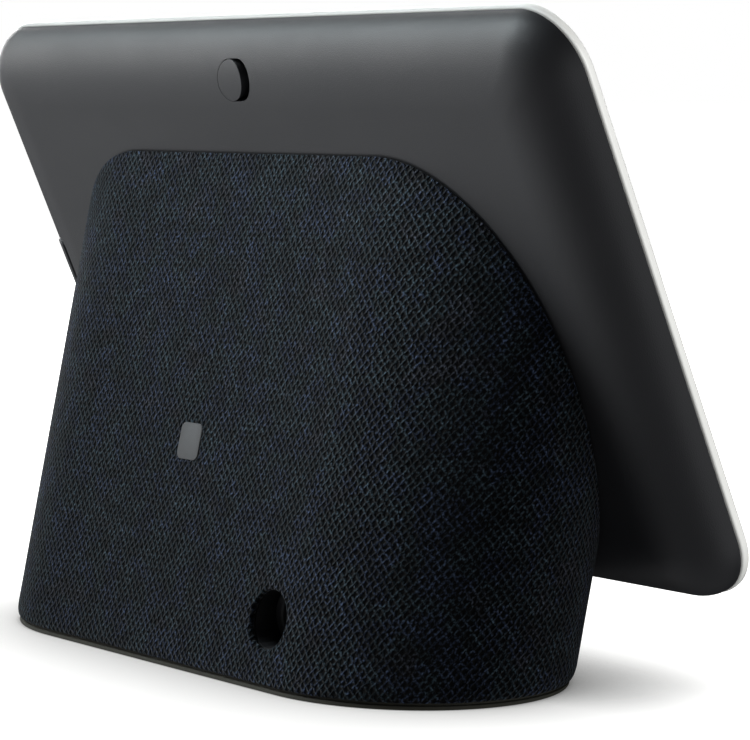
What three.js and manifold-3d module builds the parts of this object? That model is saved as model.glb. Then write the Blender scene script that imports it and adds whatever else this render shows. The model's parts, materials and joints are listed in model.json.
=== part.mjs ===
// Smart display: a tilted seven-inch panel fixed to a fabric-covered speaker base.
// Millimetres, +Z up. X runs across the screen, the screen faces -Y and the foot rests on Z = 0.
// Two working frames are used inside the part's own frame:
//   base frame:  y = 0 below the panel's lower front edge, z = 0 on the table
//   panel frame: origin at the middle of the front face, x across, y up the slope, z out of the screen
import * as THREE from "three";
import { mergeVertices } from "three/addons/utils/BufferGeometryUtils.js";
import Module from "manifold-3d";

const wasm = await Module();
wasm.setup();

// ---- Driving dimensions -------------------------------------------------------------------

const OVERALL_HEIGHT = 118;
const OVERALL_DEPTH = 66.9;
const FIT_GAP = 0.3; // clearance left between touching pieces
const WELD = 0.1; // overlap of two solids that are joined into one
const PAST = 1; // how far a cutting solid is carried past what it cuts
const FAR = 90; // beyond every side of the part
const QUARTER_TURN = Math.PI / 2;

// Panel: front outline, tilt and thickness.
const PANEL_WIDTH = 178.5;
const PANEL_HEIGHT = 110.2;
const PANEL_TILT = THREE.MathUtils.degToRad(23.8);
const PANEL_CORNER = 12;
const HALF_WIDTH = PANEL_WIDTH / 2;
const HALF_HEIGHT = PANEL_HEIGHT / 2;
const PANEL_LIFT = OVERALL_HEIGHT - PANEL_HEIGHT * Math.cos(PANEL_TILT);

// Rear housing: a soft elliptical edge behind a thin pale rim.
const RIM_DEPTH = 1.6;
const SHELL_SETBACK = 0.35;
const SOFT_INSET = 14.3;
const SOFT_DEPTH = 9.1;
const SHELL_WALL = 1.6;
const SHELL_BACK = RIM_DEPTH + SOFT_DEPTH;
const SHELL_INNER_BACK = SHELL_BACK - SHELL_WALL;
const SOFT_STEPS = 8;
const LEAST_CORNER = 1.2;

// Display stack, as distances behind the front face.
const GLASS_INSET = 1;
const GLASS_FRONT = 0.05;
const GLASS_BACK = 0.7;
const BEZEL_LIP = 0.7;
const BEZEL_SHELF = 1;
const BEZEL_BORDER = 10.6;
const BEZEL_RIB = { outer: 2.3, inner: 3.8, back: 3.2 };
const LCD = { halfWidth: 79.1, halfHeight: 44.9, front: 1.9, back: 4.1 };
const TRAY_WALL = 0.6;
const TRAY_BACK = 5;
const BOARD = { front: 5.4, back: 6.4 };
const CAN_BACK = 8.1;
const CAN_WALL = 0.4;
const FOIL = 0.3; // thickness of ribbons and antenna strips

// Base: its section is two straight sides of this half length closed by half ellipses. It leans
// forward as it rises, and every figure changes evenly with height.
const BASE_STRAIGHT = 37.5;
const BASE_HALF_WIDTH = 70.1;
const BASE_HALF_WIDTH_RISE = 3.2 / 90;
const BASE_REAR = 67.4;
const BASE_REAR_RISE = -21.5 / 90;
const BASE_HALF_DEPTH = 28.7;
const BASE_HALF_DEPTH_RISE = -1.75 / 90;
const BASE_TOP = 100;
const FABRIC = 1;
const CORE_INSET = FABRIC + FIT_GAP;
const CORE_WALL = 2;
const CORE_INNER = CORE_INSET + CORE_WALL;
const REAR_SLOPE = Math.atan(-BASE_REAR_RISE);

// Stack under the base, as heights above the table.
const FOOT_TOP = 2;
const CORE_BOTTOM = 2.3;
const PLATE_TOP = 5.3;
const FABRIC_BOTTOM = 1.2;
const FABRIC_ROUNDING = 1;

// Neck: how far behind the front face each plate of the joint between head and base lies.
const CORE_PLATE = { front: 11, back: 13 };
const BRACKET = { front: 13.3, back: 14.8 };
const CABLE_PORT = { x: 0, y: -23, halfWidth: 12, halfHeight: 5, corner: 2 };
const NECK_SCREWS = [
  [-50, -27],
  [50, -27],
  [-50, 6],
  [50, 6],
];
const NECK_BOSS_FRONT = 5.9;
const NECK_SCREW = { shank: 1.2, head: 2.4, bossRadius: 3.2, shellHole: 1.4, plateHole: 1.6 };

// Mute switch: a round slider in a slot across the upper soft edge.
const MUTE_SLOT = { x: -1.9, y: 45.95, halfLength: 5.05, halfHeight: 3.8 };
const MUTE_RADIUS = 3.55;
const MUTE_TRAVEL = 2.6;
const MUTE_PROUD = 0.05;
const MUTE_REST_X = MUTE_SLOT.x + MUTE_TRAVEL / 2;

// Volume rocker on the soft edge at the +X side, in a frame whose z is the outward normal there.
const ROCKER_ANGLE = THREE.MathUtils.degToRad(55);
const ROCKER_NORMAL = Math.atan2(SOFT_INSET * Math.sin(ROCKER_ANGLE), SOFT_DEPTH * Math.cos(ROCKER_ANGLE));
const ROCKER = { halfLength: 10.5, halfWidth: 2.2, proud: 0.35 };
const ROCKER_PIVOT = { depth: 2.65, pinRadius: 0.5, runningGap: 0.08 };
const VOLUME_SWITCH_OFFSET = 8;

// Power inlet in the rear of the base, bored along Y.
const INLET = { x: -32.5, z: 12.2, radius: 5.1, faceY: 59.4, bodyY: 47, wall: 1.5 };

// Loudspeaker: its axis is square to the sloping rear wall.
const DRIVER = { x: 1, z: 35, radius: 21.75 };
const ENCLOSURE = { x0: -23.5, x1: 44, z0: 10.2, z1: 62, front: 17, wall: 1.6 };

// Posts inside the base that take the screws from below.
const BASE_POSTS = [
  [-55, 28],
  [55, 28],
  [-55, 50],
  [55, 50],
];
const POST = { radius: 3.4, top: 22, hole: 1.5, holeTop: 20 };
const BASE_SCREW = { shank: 1.2, head: 2.6, headHeight: 1.5, top: 15, recess: 3, plateHole: 1.6 };

// Facets: an arc of a shape gets twice this many chords.
const ARC_STEPS = 2;
const PANEL_ARC_STEPS = 4;
const BASE_ARC_STEPS = 10;
const ROUND_SIDES = 24;
const DRIVER_SIDES = 32;
const SMALL_SIDES = 12;

// ---- Materials ----------------------------------------------------------------------------

const finish = (color, roughness, metalness = 0) =>
  new THREE.MeshStandardMaterial({ color, roughness, metalness });

const shellPlastic = () => finish(0x47494b, 0.55);
const rimPlastic = () => finish(0xd9d9d5, 0.45);
const innerPlastic = () => finish(0x222325, 0.6);
const charcoalFabric = () => finish(0x23272e, 0.95);
const footRubber = () => finish(0x2b2a24, 0.85);
const coverGlass = () => finish(0x101214, 0.06);
const screenBlack = () => finish(0x07080a, 0.25);
const sheetMetal = () => finish(0xb4b6b8, 0.35, 1);
const darkSteel = () => finish(0x5a5c5f, 0.4, 1);
const boardGreen = () => finish(0x14402c, 0.6);
const chipBlack = () => finish(0x141416, 0.5);
const copperFlex = () => finish(0xa5602c, 0.5);
const cableBlack = () => finish(0x18181a, 0.6);
const ferrite = () => finish(0x2a2b2e, 0.6);
const coneCloth = () => finish(0x1b1b1d, 0.9);
const foam = () => finish(0x2c2c2e, 0.95);

// ---- Solids -------------------------------------------------------------------------------

// A closed geometry as a solid that can be joined and cut.
function solid(geometry) {
  const bare = geometry.clone();
  bare.deleteAttribute("normal");
  bare.deleteAttribute("uv");
  const merged = mergeVertices(bare, 1e-4);
  return new wasm.Manifold(
    new wasm.Mesh({
      numProp: 3,
      vertProperties: new Float32Array(merged.attributes.position.array),
      triVerts: new Uint32Array(merged.index.array),
    }),
  );
}

function geometryOf(shape) {
  const mesh = shape.getMesh();
  const geometry = new THREE.BufferGeometry();
  geometry.setAttribute("position", new THREE.BufferAttribute(mesh.vertProperties, 3));
  geometry.setIndex(new THREE.BufferAttribute(mesh.triVerts, 1));
  geometry.computeVertexNormals();
  return geometry;
}

const cut = (first, ...others) => others.reduce((left, other) => left.subtract(other), first);
const join = (first, ...others) => others.reduce((left, other) => left.add(other), first);

const box = (x0, x1, y0, y1, z0, z1) =>
  new THREE.BoxGeometry(x1 - x0, y1 - y0, z1 - z0).translate((x0 + x1) / 2, (y0 + y1) / 2, (z0 + z1) / 2);

const boxSolid = (...sides) => solid(box(...sides));

// A round rod along z from z0 to z1.
const rod = (radius, z0, z1, x = 0, y = 0, sides = SMALL_SIDES) =>
  new THREE.CylinderGeometry(radius, radius, z1 - z0, sides)
    .rotateX(QUARTER_TURN)
    .translate(x, y, (z0 + z1) / 2);

const rodSolid = (...sizes) => solid(rod(...sizes));

// A round rod along y from y0 to y1.
const rodAlongY = (radius, y0, y1, x, z, sides = ROUND_SIDES) =>
  new THREE.CylinderGeometry(radius, radius, y1 - y0, sides).translate(x, (y0 + y1) / 2, z);

function prism(shape, z0, z1, curveSegments = ARC_STEPS) {
  const settings = { depth: z1 - z0, bevelEnabled: false, curveSegments };
  return new THREE.ExtrudeGeometry(shape, settings).translate(0, 0, z0);
}

// A closed profile of [radius, height] points turned about z.
const turned = (profile, sides = ROUND_SIDES) =>
  new THREE.LatheGeometry(
    [...profile, profile[0]].map(([radius, height]) => new THREE.Vector2(radius, height)),
    sides,
  ).rotateX(QUARTER_TURN);

function roundedRect(halfWidth, halfHeight, radius, x = 0, y = 0) {
  const shape = new THREE.Shape();
  const corners = [
    [1, 1, 0],
    [-1, 1, 1],
    [-1, -1, 2],
    [1, -1, 3],
  ];
  for (const [sx, sy, quarter] of corners) {
    const cx = x + sx * (halfWidth - radius);
    const cy = y + sy * (halfHeight - radius);
    shape.absarc(cx, cy, radius, quarter * QUARTER_TURN, (quarter + 1) * QUARTER_TURN, false);
  }
  shape.closePath();
  return shape;
}

const panelOutline = (inset) =>
  roundedRect(HALF_WIDTH - inset, HALF_HEIGHT - inset, Math.max(PANEL_CORNER - inset, LEAST_CORNER));

// A slot outline with round ends, lying along x or along y.
const slotAlongX = (halfLength, halfHeight, x = 0, y = 0) =>
  roundedRect(halfLength, halfHeight, halfHeight, x, y);
const slotAlongY = (halfWidth, halfLength, x = 0, y = 0) =>
  roundedRect(halfWidth, halfLength, halfWidth, x, y);

// A tube along a smooth curve through the points.
function tube(points, radius, steps) {
  const section = new THREE.Shape().absarc(0, 0, radius, 0, 2 * Math.PI, false);
  const extrudePath = new THREE.CatmullRomCurve3(points, false, "centripetal");
  return new THREE.ExtrudeGeometry(section, { steps, extrudePath, curveSegments: 4 });
}

// An extrusion whose rings are moved, one by one, to where each level says.
function shaped(outline, levels, curveSegments, move) {
  const steps = levels.length - 1;
  const settings = { depth: steps, steps, bevelEnabled: false, curveSegments };
  const geometry = new THREE.ExtrudeGeometry(outline, settings);
  const position = geometry.getAttribute("position");
  for (let i = 0; i < position.count; i += 1) {
    const level = levels[Math.round(position.getZ(i))];
    position.setXYZ(i, ...move(position.getX(i), position.getY(i), level));
  }
  return geometry;
}

// The panel's body behind the rim, grown by offset and carried forward to z = front.
function panelBody(offset, front) {
  const levels = [];
  for (let step = SOFT_STEPS; step >= 0; step -= 1) {
    const angle = (step / SOFT_STEPS) * QUARTER_TURN;
    levels.push({
      inset: SHELL_SETBACK + SOFT_INSET - (SOFT_INSET + offset) * Math.cos(angle),
      z: -RIM_DEPTH - (SOFT_DEPTH + offset) * Math.sin(angle),
    });
  }
  levels.push({ inset: SHELL_SETBACK - offset, z: front });
  const move = (x, y, { inset, z }) => {
    const radius = Math.max(PANEL_CORNER - inset, LEAST_CORNER);
    const turnX = (Math.abs(x) - (HALF_WIDTH - PANEL_CORNER)) / PANEL_CORNER;
    const turnY = (Math.abs(y) - (HALF_HEIGHT - PANEL_CORNER)) / PANEL_CORNER;
    return [
      Math.sign(x) * (HALF_WIDTH - inset - radius + turnX * radius),
      Math.sign(y) * (HALF_HEIGHT - inset - radius + turnY * radius),
      z,
    ];
  };
  return solid(shaped(panelOutline(0), levels, PANEL_ARC_STEPS, move));
}

// The base's full form, from level to level, each with its own inset.
function baseForm(levels) {
  const middle = BASE_REAR - BASE_HALF_DEPTH;
  const reach = BASE_HALF_WIDTH - BASE_STRAIGHT;
  const outline = new THREE.Shape();
  outline.absellipse(BASE_STRAIGHT, middle, reach, BASE_HALF_DEPTH, -QUARTER_TURN, QUARTER_TURN, false);
  outline.absellipse(-BASE_STRAIGHT, middle, reach, BASE_HALF_DEPTH, QUARTER_TURN, 3 * QUARTER_TURN, false);
  outline.closePath();
  const move = (x, y, { z, inset }) => {
    const halfWidth = BASE_HALF_WIDTH + BASE_HALF_WIDTH_RISE * z - inset;
    const halfDepth = BASE_HALF_DEPTH + BASE_HALF_DEPTH_RISE * z;
    const centre = BASE_REAR + BASE_REAR_RISE * z - halfDepth;
    const beyond = Math.max(Math.abs(x) - BASE_STRAIGHT, 0) / reach;
    const straight = Math.min(Math.abs(x), BASE_STRAIGHT);
    return [
      Math.sign(x) * (straight + beyond * (halfWidth - BASE_STRAIGHT)),
      centre + ((y - middle) / BASE_HALF_DEPTH) * (halfDepth - inset),
      z,
    ];
  };
  return solid(shaped(outline, levels, BASE_ARC_STEPS, move));
}

const straightBase = (inset, z0, z1) =>
  baseForm([
    { z: z0, inset },
    { z: z1, inset },
  ]);

// ---- Frames -------------------------------------------------------------------------------

const product = new THREE.Group();

const base = new THREE.Group();
base.position.y = -OVERALL_DEPTH / 2;
product.add(base);

const head = new THREE.Group();
head.position.set(0, HALF_HEIGHT * Math.sin(PANEL_TILT), PANEL_LIFT + HALF_HEIGHT * Math.cos(PANEL_TILT));
head.rotation.x = QUARTER_TURN - PANEL_TILT;
head.updateMatrix();
base.add(head);

const rockerFrame = new THREE.Group();
rockerFrame.position.set(
  HALF_WIDTH - SHELL_SETBACK - SOFT_INSET * (1 - Math.cos(ROCKER_ANGLE)),
  0,
  -RIM_DEPTH - SOFT_DEPTH * Math.sin(ROCKER_ANGLE),
);
rockerFrame.rotation.y = ROCKER_NORMAL + QUARTER_TURN;
rockerFrame.updateMatrix();
head.add(rockerFrame);

const driver = new THREE.Group();
driver.position.set(DRIVER.x, BASE_REAR + BASE_REAR_RISE * DRIVER.z - CORE_INNER - 2 * FIT_GAP, DRIVER.z);
driver.rotation.x = REAR_SLOPE - QUARTER_TURN;
driver.updateMatrix();
base.add(driver);

// A solid built in a child frame, seen in the frame that holds it.
const placed = (geometry, frame) => solid(geometry.clone().applyMatrix4(frame.matrix));
const panelPoint = (x, y, z) => new THREE.Vector3(x, y, z).applyMatrix4(head.matrix);

function add(frame, name, shape, material) {
  const geometry = shape.isBufferGeometry ? shape : geometryOf(shape);
  const mesh = new THREE.Mesh(geometry, material);
  mesh.name = name;
  frame.add(mesh);
}

// ---- Display head -------------------------------------------------------------------------

const SENSOR_Y = 49.3;
const MIC_X = 22;
const MIC_HOLE = 0.6;
const SENSOR_HOLE = 1.8;

function addCoverGlass() {
  const pane = solid(prism(panelOutline(GLASS_INSET), -GLASS_BACK, -GLASS_FRONT, PANEL_ARC_STEPS));
  const holes = [-MIC_X, MIC_X].map((x) => rodSolid(MIC_HOLE, -GLASS_BACK - PAST, PAST, x, SENSOR_Y));
  add(head, "cover_glass", cut(pane, ...holes), coverGlass());
}

// The pale rim: a lip round the glass, a shelf behind it and a locating rib inside the housing.
function addBezelFrame() {
  const { outer, inner, back } = BEZEL_RIB;
  const slab = solid(prism(panelOutline(0), -RIM_DEPTH, 0, PANEL_ARC_STEPS));
  const pocket = solid(prism(panelOutline(BEZEL_LIP), -BEZEL_SHELF, PAST, PANEL_ARC_STEPS));
  const rib = solid(prism(panelOutline(outer), -back, -RIM_DEPTH + WELD));
  const ribHollow = solid(prism(panelOutline(inner), -back - PAST, -RIM_DEPTH));
  const window = solid(prism(panelOutline(BEZEL_BORDER), -back - PAST, PAST));
  const mics = [-MIC_X, MIC_X].map((x) => rodSolid(MIC_HOLE, -back, PAST, x, SENSOR_Y));
  const sensor = rodSolid(SENSOR_HOLE, -back, PAST, 0, SENSOR_Y);
  const frame = join(cut(slab, pocket), cut(rib, ribHollow));
  add(head, "bezel_frame", cut(frame, window, sensor, ...mics), rimPlastic());
}

function addDisplayModule() {
  const { halfWidth, halfHeight, front, back } = LCD;
  add(head, "lcd_panel", box(-halfWidth, halfWidth, -halfHeight, halfHeight, -back, -front), screenBlack());
  const inside = FIT_GAP;
  const outside = FIT_GAP + TRAY_WALL;
  const corner = 2;
  const outline = roundedRect(halfWidth + outside, halfHeight + outside, corner);
  const outer = solid(prism(outline, -TRAY_BACK, -front));
  const inner = boxSolid(
    -halfWidth - inside,
    halfWidth + inside,
    -halfHeight - inside,
    halfHeight + inside,
    -back - inside,
    0,
  );
  const notch = FLEX_HALF_WIDTH + 1;
  const flexNotch = boxSolid(-notch, notch, -halfHeight - 3, -halfHeight, -back - inside, 0);
  const screwHoles = BOARD_SCREWS.map(([x, y]) => rodSolid(BOARD_HOLE, -TRAY_BACK - PAST, 0, x, y));
  add(head, "backlight_tray", cut(outer, inner, flexNotch, ...screwHoles), sheetMetal());
}

// A ribbon that leaves the display's lower edge and turns back to the main board.
function addDisplayFlex() {
  const thick = FOIL;
  const edge = -LCD.halfHeight - FIT_GAP;
  const bend = edge - 2.5;
  const front = -LCD.front - 1;
  const back = -BOARD.front - thick;
  const end = MAIN_BOARD.y0 - FIT_GAP;
  const ribbon = new THREE.Shape();
  ribbon.moveTo(edge, front);
  ribbon.lineTo(bend, front);
  ribbon.lineTo(bend, back);
  ribbon.lineTo(end, back);
  ribbon.lineTo(end, back + thick);
  ribbon.lineTo(bend + thick, back + thick);
  ribbon.lineTo(bend + thick, front - thick);
  ribbon.lineTo(edge, front - thick);
  ribbon.closePath();
  const toPanel = new THREE.Matrix4().makeBasis(
    new THREE.Vector3(0, 1, 0),
    new THREE.Vector3(0, 0, 1),
    new THREE.Vector3(1, 0, 0),
  );
  const strip = prism(ribbon, -FLEX_HALF_WIDTH, FLEX_HALF_WIDTH).applyMatrix4(toPanel);
  add(head, "display_flex", strip, copperFlex());
}

// Plan positions on the main board, as x from and to, then y from and to.
const MAIN_BOARD = { x: 40, y0: -31, y1: 28 };
const PROCESSOR = [-17, -3, -6, 8];
const SHIELD_MAIN = [-32, 14, -14, 18];
const SHIELD_RADIO = [18, 32, 2, 20];
const HEAT_SPREADER = [-38, 38, -14, 20];
const ANTENNA = { x: 65, halfWidth: 7, y0: 18, y1: 42 };
const FLEX_HALF_WIDTH = 10;
const BOARD_HOLE = 1.2;
const BOARD_SCREWS = [
  [-36, 24],
  [36, -27],
];

function addElectronics() {
  const { x, y0, y1 } = MAIN_BOARD;
  const canFront = BOARD.back + FIT_GAP;
  const can = ([x0, x1, y2, y3]) =>
    cut(
      boxSolid(x0, x1, y2, y3, -CAN_BACK, -canFront),
      boxSolid(x0 + CAN_WALL, x1 - CAN_WALL, y2 + CAN_WALL, y3 - CAN_WALL, -CAN_BACK + FIT_GAP, 0),
    );
  const board = boxSolid(-x, x, y0, y1, -BOARD.back, -BOARD.front);
  const holes = BOARD_SCREWS.map(([sx, sy]) => rodSolid(BOARD_HOLE, -BOARD.back - PAST, 0, sx, sy));
  const spreaderFront = CAN_BACK + FIT_GAP;
  const spreader = box(...HEAT_SPREADER, -spreaderFront - CAN_WALL, -spreaderFront);
  add(head, "main_board", cut(board, ...holes), boardGreen());
  add(head, "processor", box(...PROCESSOR, -canFront - 0.8, -canFront), chipBlack());
  add(head, "shield_main", can(SHIELD_MAIN), sheetMetal());
  add(head, "shield_radio", can(SHIELD_RADIO), sheetMetal());
  add(head, "heat_spreader", spreader, sheetMetal());
  for (const [side, sign] of Object.entries({ left: -1, right: 1 })) {
    const middle = sign * ANTENNA.x;
    const sides = [middle - ANTENNA.halfWidth, middle + ANTENNA.halfWidth, ANTENNA.y0, ANTENNA.y1];
    add(head, "antenna_" + side, box(...sides, -BOARD.front - FOIL, -BOARD.front), copperFlex());
  }
  BOARD_SCREWS.forEach(([sx, sy], i) => {
    const cap = rodSolid(2, -canFront - 0.9, -canFront, sx, sy);
    const shank = rodSolid(0.9, -canFront - 2 * WELD, -TRAY_BACK + 0.4, sx, sy);
    add(head, "board_screw_" + (i + 1), join(cap, shank), darkSteel());
  });
}

// Two microphones behind pin holes and a light sensor behind its own window, above the screen.
function addSensors() {
  const low = 47.3;
  const high = 50.9;
  const halfLength = 5;
  const shelf = RIM_DEPTH + FIT_GAP;
  const boardFront = shelf + 0.7;
  const boardBack = boardFront + 0.8;
  for (const [side, x] of Object.entries({ left: -MIC_X, right: MIC_X })) {
    const ring = rodSolid(1.7, -shelf - 0.4, -shelf, x, SENSOR_Y);
    const gasket = cut(ring, rodSolid(MIC_HOLE, -boardBack, 0, x, SENSOR_Y));
    add(head, "mic_gasket_" + side, gasket, foam());
    const board = boxSolid(x - halfLength, x + halfLength, low, high, -boardBack, -boardFront);
    const port = rodSolid(0.4, -boardBack - PAST, 0, x, SENSOR_Y);
    add(head, "mic_board_" + side, cut(board, port), boardGreen());
  }
  const lensBack = RIM_DEPTH - 0.05;
  const lens = rod(SENSOR_HOLE - FIT_GAP, -lensBack, -lensBack + 0.5, 0, SENSOR_Y);
  add(head, "light_sensor_lens", lens, screenBlack());
  const sensorBoard = box(-halfLength, halfLength, low, high, -shelf - 0.8, -shelf);
  add(head, "light_sensor_board", sensorBoard, boardGreen());
}

// ---- Rear housing -------------------------------------------------------------------------

// A rod along the rocker's hinge line, in the rocker's frame.
const alongHinge = (radius, reach) =>
  rod(radius, -reach, reach).rotateY(QUARTER_TURN).translate(0, 0, -ROCKER_PIVOT.depth);

// The two ears inside the housing that hold the rocker's pin.
function rockerEars() {
  const innerEdge = ROCKER.halfWidth + FIT_GAP;
  const outerEdge = innerEdge + 0.9;
  const halfLength = 1.6;
  const reach = { back: -ROCKER_PIVOT.depth - 1.05, front: -1.2 };
  return [-1, 1].map((sign) => {
    const [x0, x1] = [sign * innerEdge, sign * outerEdge].sort((a, b) => a - b);
    return placed(box(x0, x1, -halfLength, halfLength, reach.back, reach.front), rockerFrame);
  });
}

const cablePort = () =>
  roundedRect(CABLE_PORT.halfWidth, CABLE_PORT.halfHeight, CABLE_PORT.corner, CABLE_PORT.x, CABLE_PORT.y);

function addRearHousing() {
  const front = -RIM_DEPTH - FIT_GAP;
  const behind = -SHELL_BACK - PAST;
  const { bossRadius, shellHole } = NECK_SCREW;
  const outer = cut(panelBody(0, PAST), boxSolid(-FAR, FAR, -FAR, FAR, front, FAR));
  const inner = panelBody(-SHELL_WALL, PAST);
  const bosses = NECK_SCREWS.map(([x, y]) =>
    rodSolid(bossRadius, -SHELL_INNER_BACK - PAST, -NECK_BOSS_FRONT, x, y),
  );
  const screwHoles = NECK_SCREWS.map(([x, y]) => rodSolid(shellHole, behind, 0, x, y));
  const muteSlot = slotAlongX(MUTE_SLOT.halfLength, MUTE_SLOT.halfHeight, MUTE_SLOT.x, MUTE_SLOT.y);
  const rockerSlot = slotAlongY(ROCKER.halfWidth + FIT_GAP, ROCKER.halfLength + FIT_GAP + 0.05);
  const ears = rockerEars().map((ear) => ear.intersect(panelBody(-SHELL_WALL / 2, PAST)));
  const pinHole = placed(alongHinge(ROCKER_PIVOT.pinRadius + ROCKER_PIVOT.runningGap, 6), rockerFrame);
  add(
    head,
    "rear_housing",
    cut(
      join(cut(outer, inner), ...bosses, ...ears),
      ...screwHoles,
      solid(prism(cablePort(), behind, -SHELL_INNER_BACK + PAST)),
      solid(prism(muteSlot, behind, -6.5, PANEL_ARC_STEPS)),
      placed(prism(rockerSlot, -3, 3, PANEL_ARC_STEPS), rockerFrame),
      pinHole.intersect(panelBody(-SHELL_WALL - 0.05, PAST)),
    ),
    shellPlastic(),
  );
}

// ---- Mute switch --------------------------------------------------------------------------

const MUTE_FLANGE = { back: 7.7, front: 6.9, y0: 37.2, y1: 46.4, halfWidth: 7.6 };
const MUTE_PRONG = { offset: 2, halfWidth: 0.6, length: 3 };
const KNOB = { halfWidth: 1.1, y0: 31.9, y1: 36.6, front: 7 };
const MUTE_CASE = { halfWidth: 4.4, y0: 30, y1: 33.9, back: 8.3, front: 6.7 };
const MUTE_BOARD = { halfWidth: 10, y0: 28.6, y1: 38 };

// The round slider with the flange that keeps it in the housing and the fork that moves the knob.
function addMuteSlider() {
  const { back, front, y0, y1, halfWidth } = MUTE_FLANGE;
  const x = MUTE_REST_X;
  const cap = rodSolid(MUTE_RADIUS, -SHELL_BACK - PAST, -back + 2 * WELD, x, MUTE_SLOT.y, ROUND_SIDES);
  const flush = cap.intersect(panelBody(-MUTE_PROUD, PAST));
  const flange = boxSolid(x - halfWidth, x + halfWidth, y0, y1, -back, -front);
  const prongs = [-1, 1].map((side) => {
    const middle = x + side * MUTE_PRONG.offset;
    const sides = [middle - MUTE_PRONG.halfWidth, middle + MUTE_PRONG.halfWidth];
    return boxSolid(...sides, y0 - MUTE_PRONG.length, y0 + 2 * WELD, -back, -front);
  });
  add(head, "mute_slider", join(flange, flush, ...prongs), shellPlastic());
}

function addMuteSwitch() {
  const x = MUTE_REST_X;
  const knob = box(x - KNOB.halfWidth, x + KNOB.halfWidth, KNOB.y0, KNOB.y1, -MUTE_FLANGE.back, -KNOB.front);
  add(head, "mute_switch_knob", knob, innerPlastic());

  const { halfWidth, y0, y1, back, front } = MUTE_CASE;
  const centre = MUTE_SLOT.x;
  const reach = MUTE_TRAVEL / 2 + KNOB.halfWidth + FIT_GAP;
  const body = boxSolid(centre - halfWidth, centre + halfWidth, y0, y1, -back, -front);
  const track = boxSolid(
    centre - reach,
    centre + reach,
    KNOB.y0 - FIT_GAP,
    y1 + PAST,
    -back + FIT_GAP,
    -front - WELD,
  );
  add(head, "mute_switch_case", cut(body, track), sheetMetal());
  const sides = [centre - MUTE_BOARD.halfWidth, centre + MUTE_BOARD.halfWidth, MUTE_BOARD.y0, MUTE_BOARD.y1];
  add(head, "mute_switch_board", box(...sides, -BOARD.back, -BOARD.front), boardGreen());
}

// ---- Volume rocker ------------------------------------------------------------------------

const ROCKER_FLANGE = { halfWidth: 2, halfLength: 11.6, back: 2.95, front: 2.35 };
const VOLUME_SWITCH = { x0: -1.9, x1: 1.3, halfLength: 1.6, back: 4.35, front: 3.65 };
const PLUNGER = { x: -0.3, radius: 0.7, front: 3.45 };
const VOLUME_BOARD = { x0: -2.2, x1: 1.2, halfLength: 11, back: 4.75, front: 4.55 };

function addVolumeRocker() {
  const { halfLength, halfWidth, proud } = ROCKER;
  const { pinRadius, runningGap } = ROCKER_PIVOT;
  const toRocker = rockerFrame.matrix.clone().invert();
  const grip = placed(prism(slotAlongY(halfWidth, halfLength), -2.5, 3, PANEL_ARC_STEPS), rockerFrame);
  const face = geometryOf(grip.intersect(panelBody(proud, PAST))).applyMatrix4(toRocker);
  const { halfWidth: side, halfLength: end, back, front } = ROCKER_FLANGE;
  const flange = boxSolid(-side, side, -end, end, -back, -front);
  const hub = solid(alongHinge(2 * pinRadius, side));
  const bore = solid(alongHinge(pinRadius + runningGap, 3));
  add(rockerFrame, "volume_rocker", cut(join(solid(face), flange, hub), bore), shellPlastic());
  add(rockerFrame, "rocker_pin", alongHinge(pinRadius, 3), darkSteel());
}

function addVolumeSwitches() {
  const { x0, x1, halfLength, back, front } = VOLUME_SWITCH;
  for (const [name, sign] of Object.entries({ volume_up_switch: 1, volume_down_switch: -1 })) {
    const y = sign * VOLUME_SWITCH_OFFSET;
    const body = boxSolid(x0, x1, y - halfLength, y + halfLength, -back, -front);
    const plunger = rodSolid(PLUNGER.radius, -front - 0.05, -PLUNGER.front, PLUNGER.x, y);
    add(rockerFrame, name, join(body, plunger), sheetMetal());
  }
  const end = VOLUME_BOARD.halfLength;
  const board = box(VOLUME_BOARD.x0, VOLUME_BOARD.x1, -end, end, -VOLUME_BOARD.back, -VOLUME_BOARD.front);
  add(rockerFrame, "volume_board", board, copperFlex());
}

// ---- Neck: plates and screws between head and base ----------------------------------------

// The bracket is a rounded plate with a large window, as half width, half height, corner, x and y.
const BRACKET_OUTLINE = [56, 22.5, 5, 0, -10.5];
const BRACKET_WINDOW = [42, 17, 3, 0, -13];

function addNeck() {
  const { shank, head: headRadius, plateHole } = NECK_SCREW;
  const behind = -BRACKET.back - PAST;
  const plate = cut(
    solid(prism(roundedRect(...BRACKET_OUTLINE), -BRACKET.back, -BRACKET.front)),
    solid(prism(roundedRect(...BRACKET_WINDOW), behind, -BRACKET.front + PAST)),
    ...NECK_SCREWS.map(([x, y]) => rodSolid(plateHole, behind, 0, x, y)),
  );
  add(head, "neck_bracket", plate, darkSteel());
  NECK_SCREWS.forEach(([x, y], i) => {
    const cap = rodSolid(headRadius, -BRACKET.back - 2, -BRACKET.back - WELD, x, y);
    const stem = rodSolid(shank, behind, -NECK_BOSS_FRONT - 0.6, x, y);
    add(head, "neck_screw_" + (i + 1), join(cap, stem), darkSteel());
  });
}

// ---- Base ---------------------------------------------------------------------------------

// Everything in front of the panel's back, grown by a clearance: what the base is cut away by.
const panelCutter = (clearance) => placed(geometryOf(panelBody(clearance, FAR)), head);
const inFrontOf = (depth) => placed(box(-FAR, FAR, -FAR, FAR, -depth, FAR), head);
const inletBore = (radius, y0, y1) => solid(rodAlongY(radius, y0, y1, INLET.x, INLET.z));

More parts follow.
